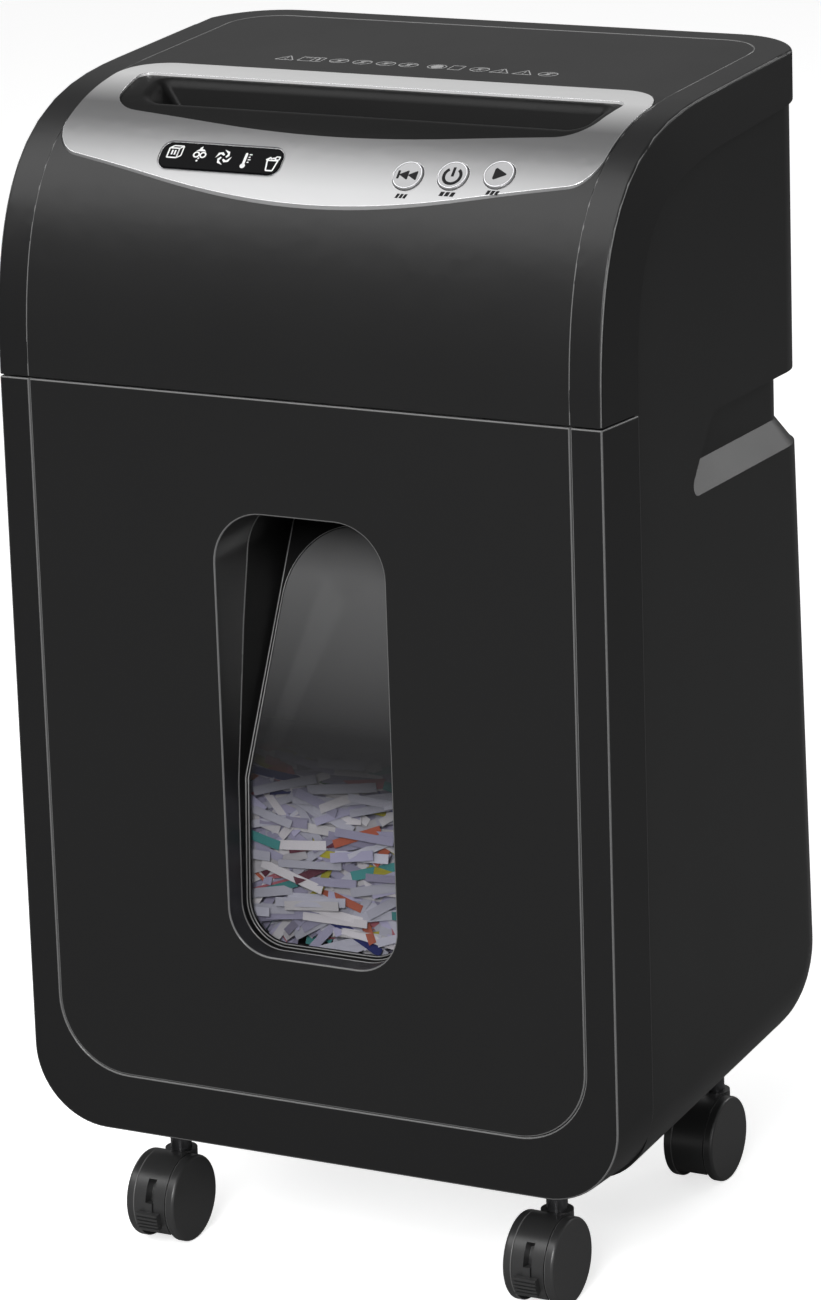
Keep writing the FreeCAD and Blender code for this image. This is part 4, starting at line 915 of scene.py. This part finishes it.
# From the smoke's dark tint to a lighter grey at the top: a painted sheen.
ramp = tree.nodes.new("ShaderNodeValToRGB")
ramp.color_ramp.elements[0].color = (0.024, 0.024, 0.025, 1)
ramp.color_ramp.elements[1].color = (0.19, 0.19, 0.192, 1)
tree.links.new(tint.outputs["Result"], ramp.inputs["Fac"])
tree.links.new(ramp.outputs["Color"], shader.inputs["Base Color"])
dress("bin_window", [smoked], 0.4 * MM, "smoked_window")
print("window from", round(window_low.z, 3), "to", round(window_high.z, 3))

# %% [markdown]
# ## Shredded paper
# A cross-cut machine turns paper into short flat strips that curl as they fall. Each strip here starts as a
# grid of one row, is bent along its length, thickened, and thrown into the bin at a random angle. A colour
# attribute on each strip says which sheet it came from: mostly white, with a few coloured ones.

# %% Strips of paper in the bin
random.seed(11)
bin_low, bin_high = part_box("bin_basket")
PAPERS = [((0.62, 0.62, 0.67), 30), ((0.54, 0.53, 0.62), 24), ((0.68, 0.67, 0.69), 20),
          ((0.45, 0.44, 0.52), 8), ((0.60, 0.57, 0.16), 5), ((0.22, 0.48, 0.48), 4),
          ((0.09, 0.12, 0.34), 3), ((0.58, 0.32, 0.36), 3), ((0.58, 0.29, 0.21), 2),
          ((0.12, 0.31, 0.15), 1), ((0.28, 0.08, 0.15), 1)]
paper_choice = [colour for colour, share in PAPERS for _ in range(share)]


def window_y(z):
    """Where the inner face of the window stands at a height."""
    bend_z = base_z + 0.198
    if z < bend_z:
        return front_y + 0.0185 + (z - base_z - 0.089) * 0.055
    return front_y + 0.0245 + (z - bend_z) * 0.4918


def add_strip(bm, tint, place, turn, length, width, curl):
    """One curled strip, as a bent row of faces."""
    made = bmesh.ops.create_grid(bm, x_segments=5, y_segments=1, size=0.5)
    colour = random.choice(paper_choice)
    shade = random.uniform(0.86, 1.06)
    for vert in made["verts"]:
        along = vert.co.x
        vert.co = Vector((along * length, vert.co.y * width, curl * length * (along * along - 0.08)))
    bmesh.ops.transform(bm, matrix=Matrix.Translation(place) @ turn, verts=made["verts"])
    for face in {f for v in made["verts"] for f in v.link_faces}:
        for loop in face.loops:
            loop[tint] = (*[min(1.0, c * shade) for c in colour], 1)


def heap_top(x, y):
    """The height of the heap's surface: highest below the cutters, uneven all over."""
    hump = math.exp(-((y + 0.03) / 0.09) ** 2) * 0.02
    return base_z + 0.205 + hump + 0.008 * math.sin(x * 55 + 1.0) * math.cos(y * 48)


bm = bmesh.new()
tint = bm.loops.layers.color.new("paper_tint")
strip_count = 1500
for i in range(strip_count):
    at_window = i % 3 != 0
    length = random.uniform(0.022, 0.042)
    reach = length / 2 + 0.002
    if at_window:
        z = random.uniform(base_z + 0.112, base_z + 0.222)
        x = random.uniform(-0.056, 0.056)
        spin_angle = random.choice((0.0, math.pi)) + random.gauss(0.5, 0.75)
        z = max(z, bin_low.z + 0.005 + reach)
        rise = reach * abs(math.sin(spin_angle)) + 0.002
        lean = Matrix.Rotation(math.radians(90) - random.uniform(0.0, 0.35), 4, "X")
        tip = rise * 0.34
        y = max(window_y(z - rise), window_y(z + rise)) + tip + random.uniform(0.0005, 0.012)
        turn = lean @ Matrix.Rotation(spin_angle, 4, "Z")
    else:
        x = random.uniform(bin_low.x + 0.022 + reach + 0.004, bin_high.x - 0.022 - reach - 0.004)
        y = random.uniform(bin_low.y + reach + 0.006, bin_high.y - reach - 0.006)
        z = heap_top(x, y) + random.uniform(-0.012, 0.008)
        if abs(x) < 0.056 + reach and y < window_y(z) + reach + 0.004:
            y = window_y(z) + reach + random.uniform(0.006, 0.02)
        heading = Matrix.Rotation(random.uniform(0, math.tau), 4, "Z")
        turn = heading @ Matrix.Rotation(random.gauss(0, 0.35), 4, "Y")
    add_strip(bm, tint, (x, y, z), turn, length, random.uniform(0.0040, 0.0052), random.uniform(-0.16, 0.16))
bmesh.ops.solidify(bm, geom=bm.faces[:], thickness=0.00012)
shreds_mesh = bpy.data.meshes.new("shredded_paper")
bm.to_mesh(shreds_mesh)
bm.free()
shreds = bpy.data.objects.new("shredded_paper", shreds_mesh)
bpy.context.scene.collection.objects.link(shreds)
paper = bpy.data.materials.new("paper")
paper.use_nodes = True
tree = paper.node_tree
colour_node = tree.nodes.new("ShaderNodeVertexColor")
colour_node.layer_name = "paper_tint"
tree.links.new(colour_node.outputs["Color"], tree.nodes["Principled BSDF"].inputs["Base Color"])
tree.nodes["Principled BSDF"].inputs["Roughness"].default_value = 0.75
shreds_mesh.materials.append(paper)
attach(shreds, "drawer")
print("strips:", strip_count, "faces:", len(shreds_mesh.polygons))
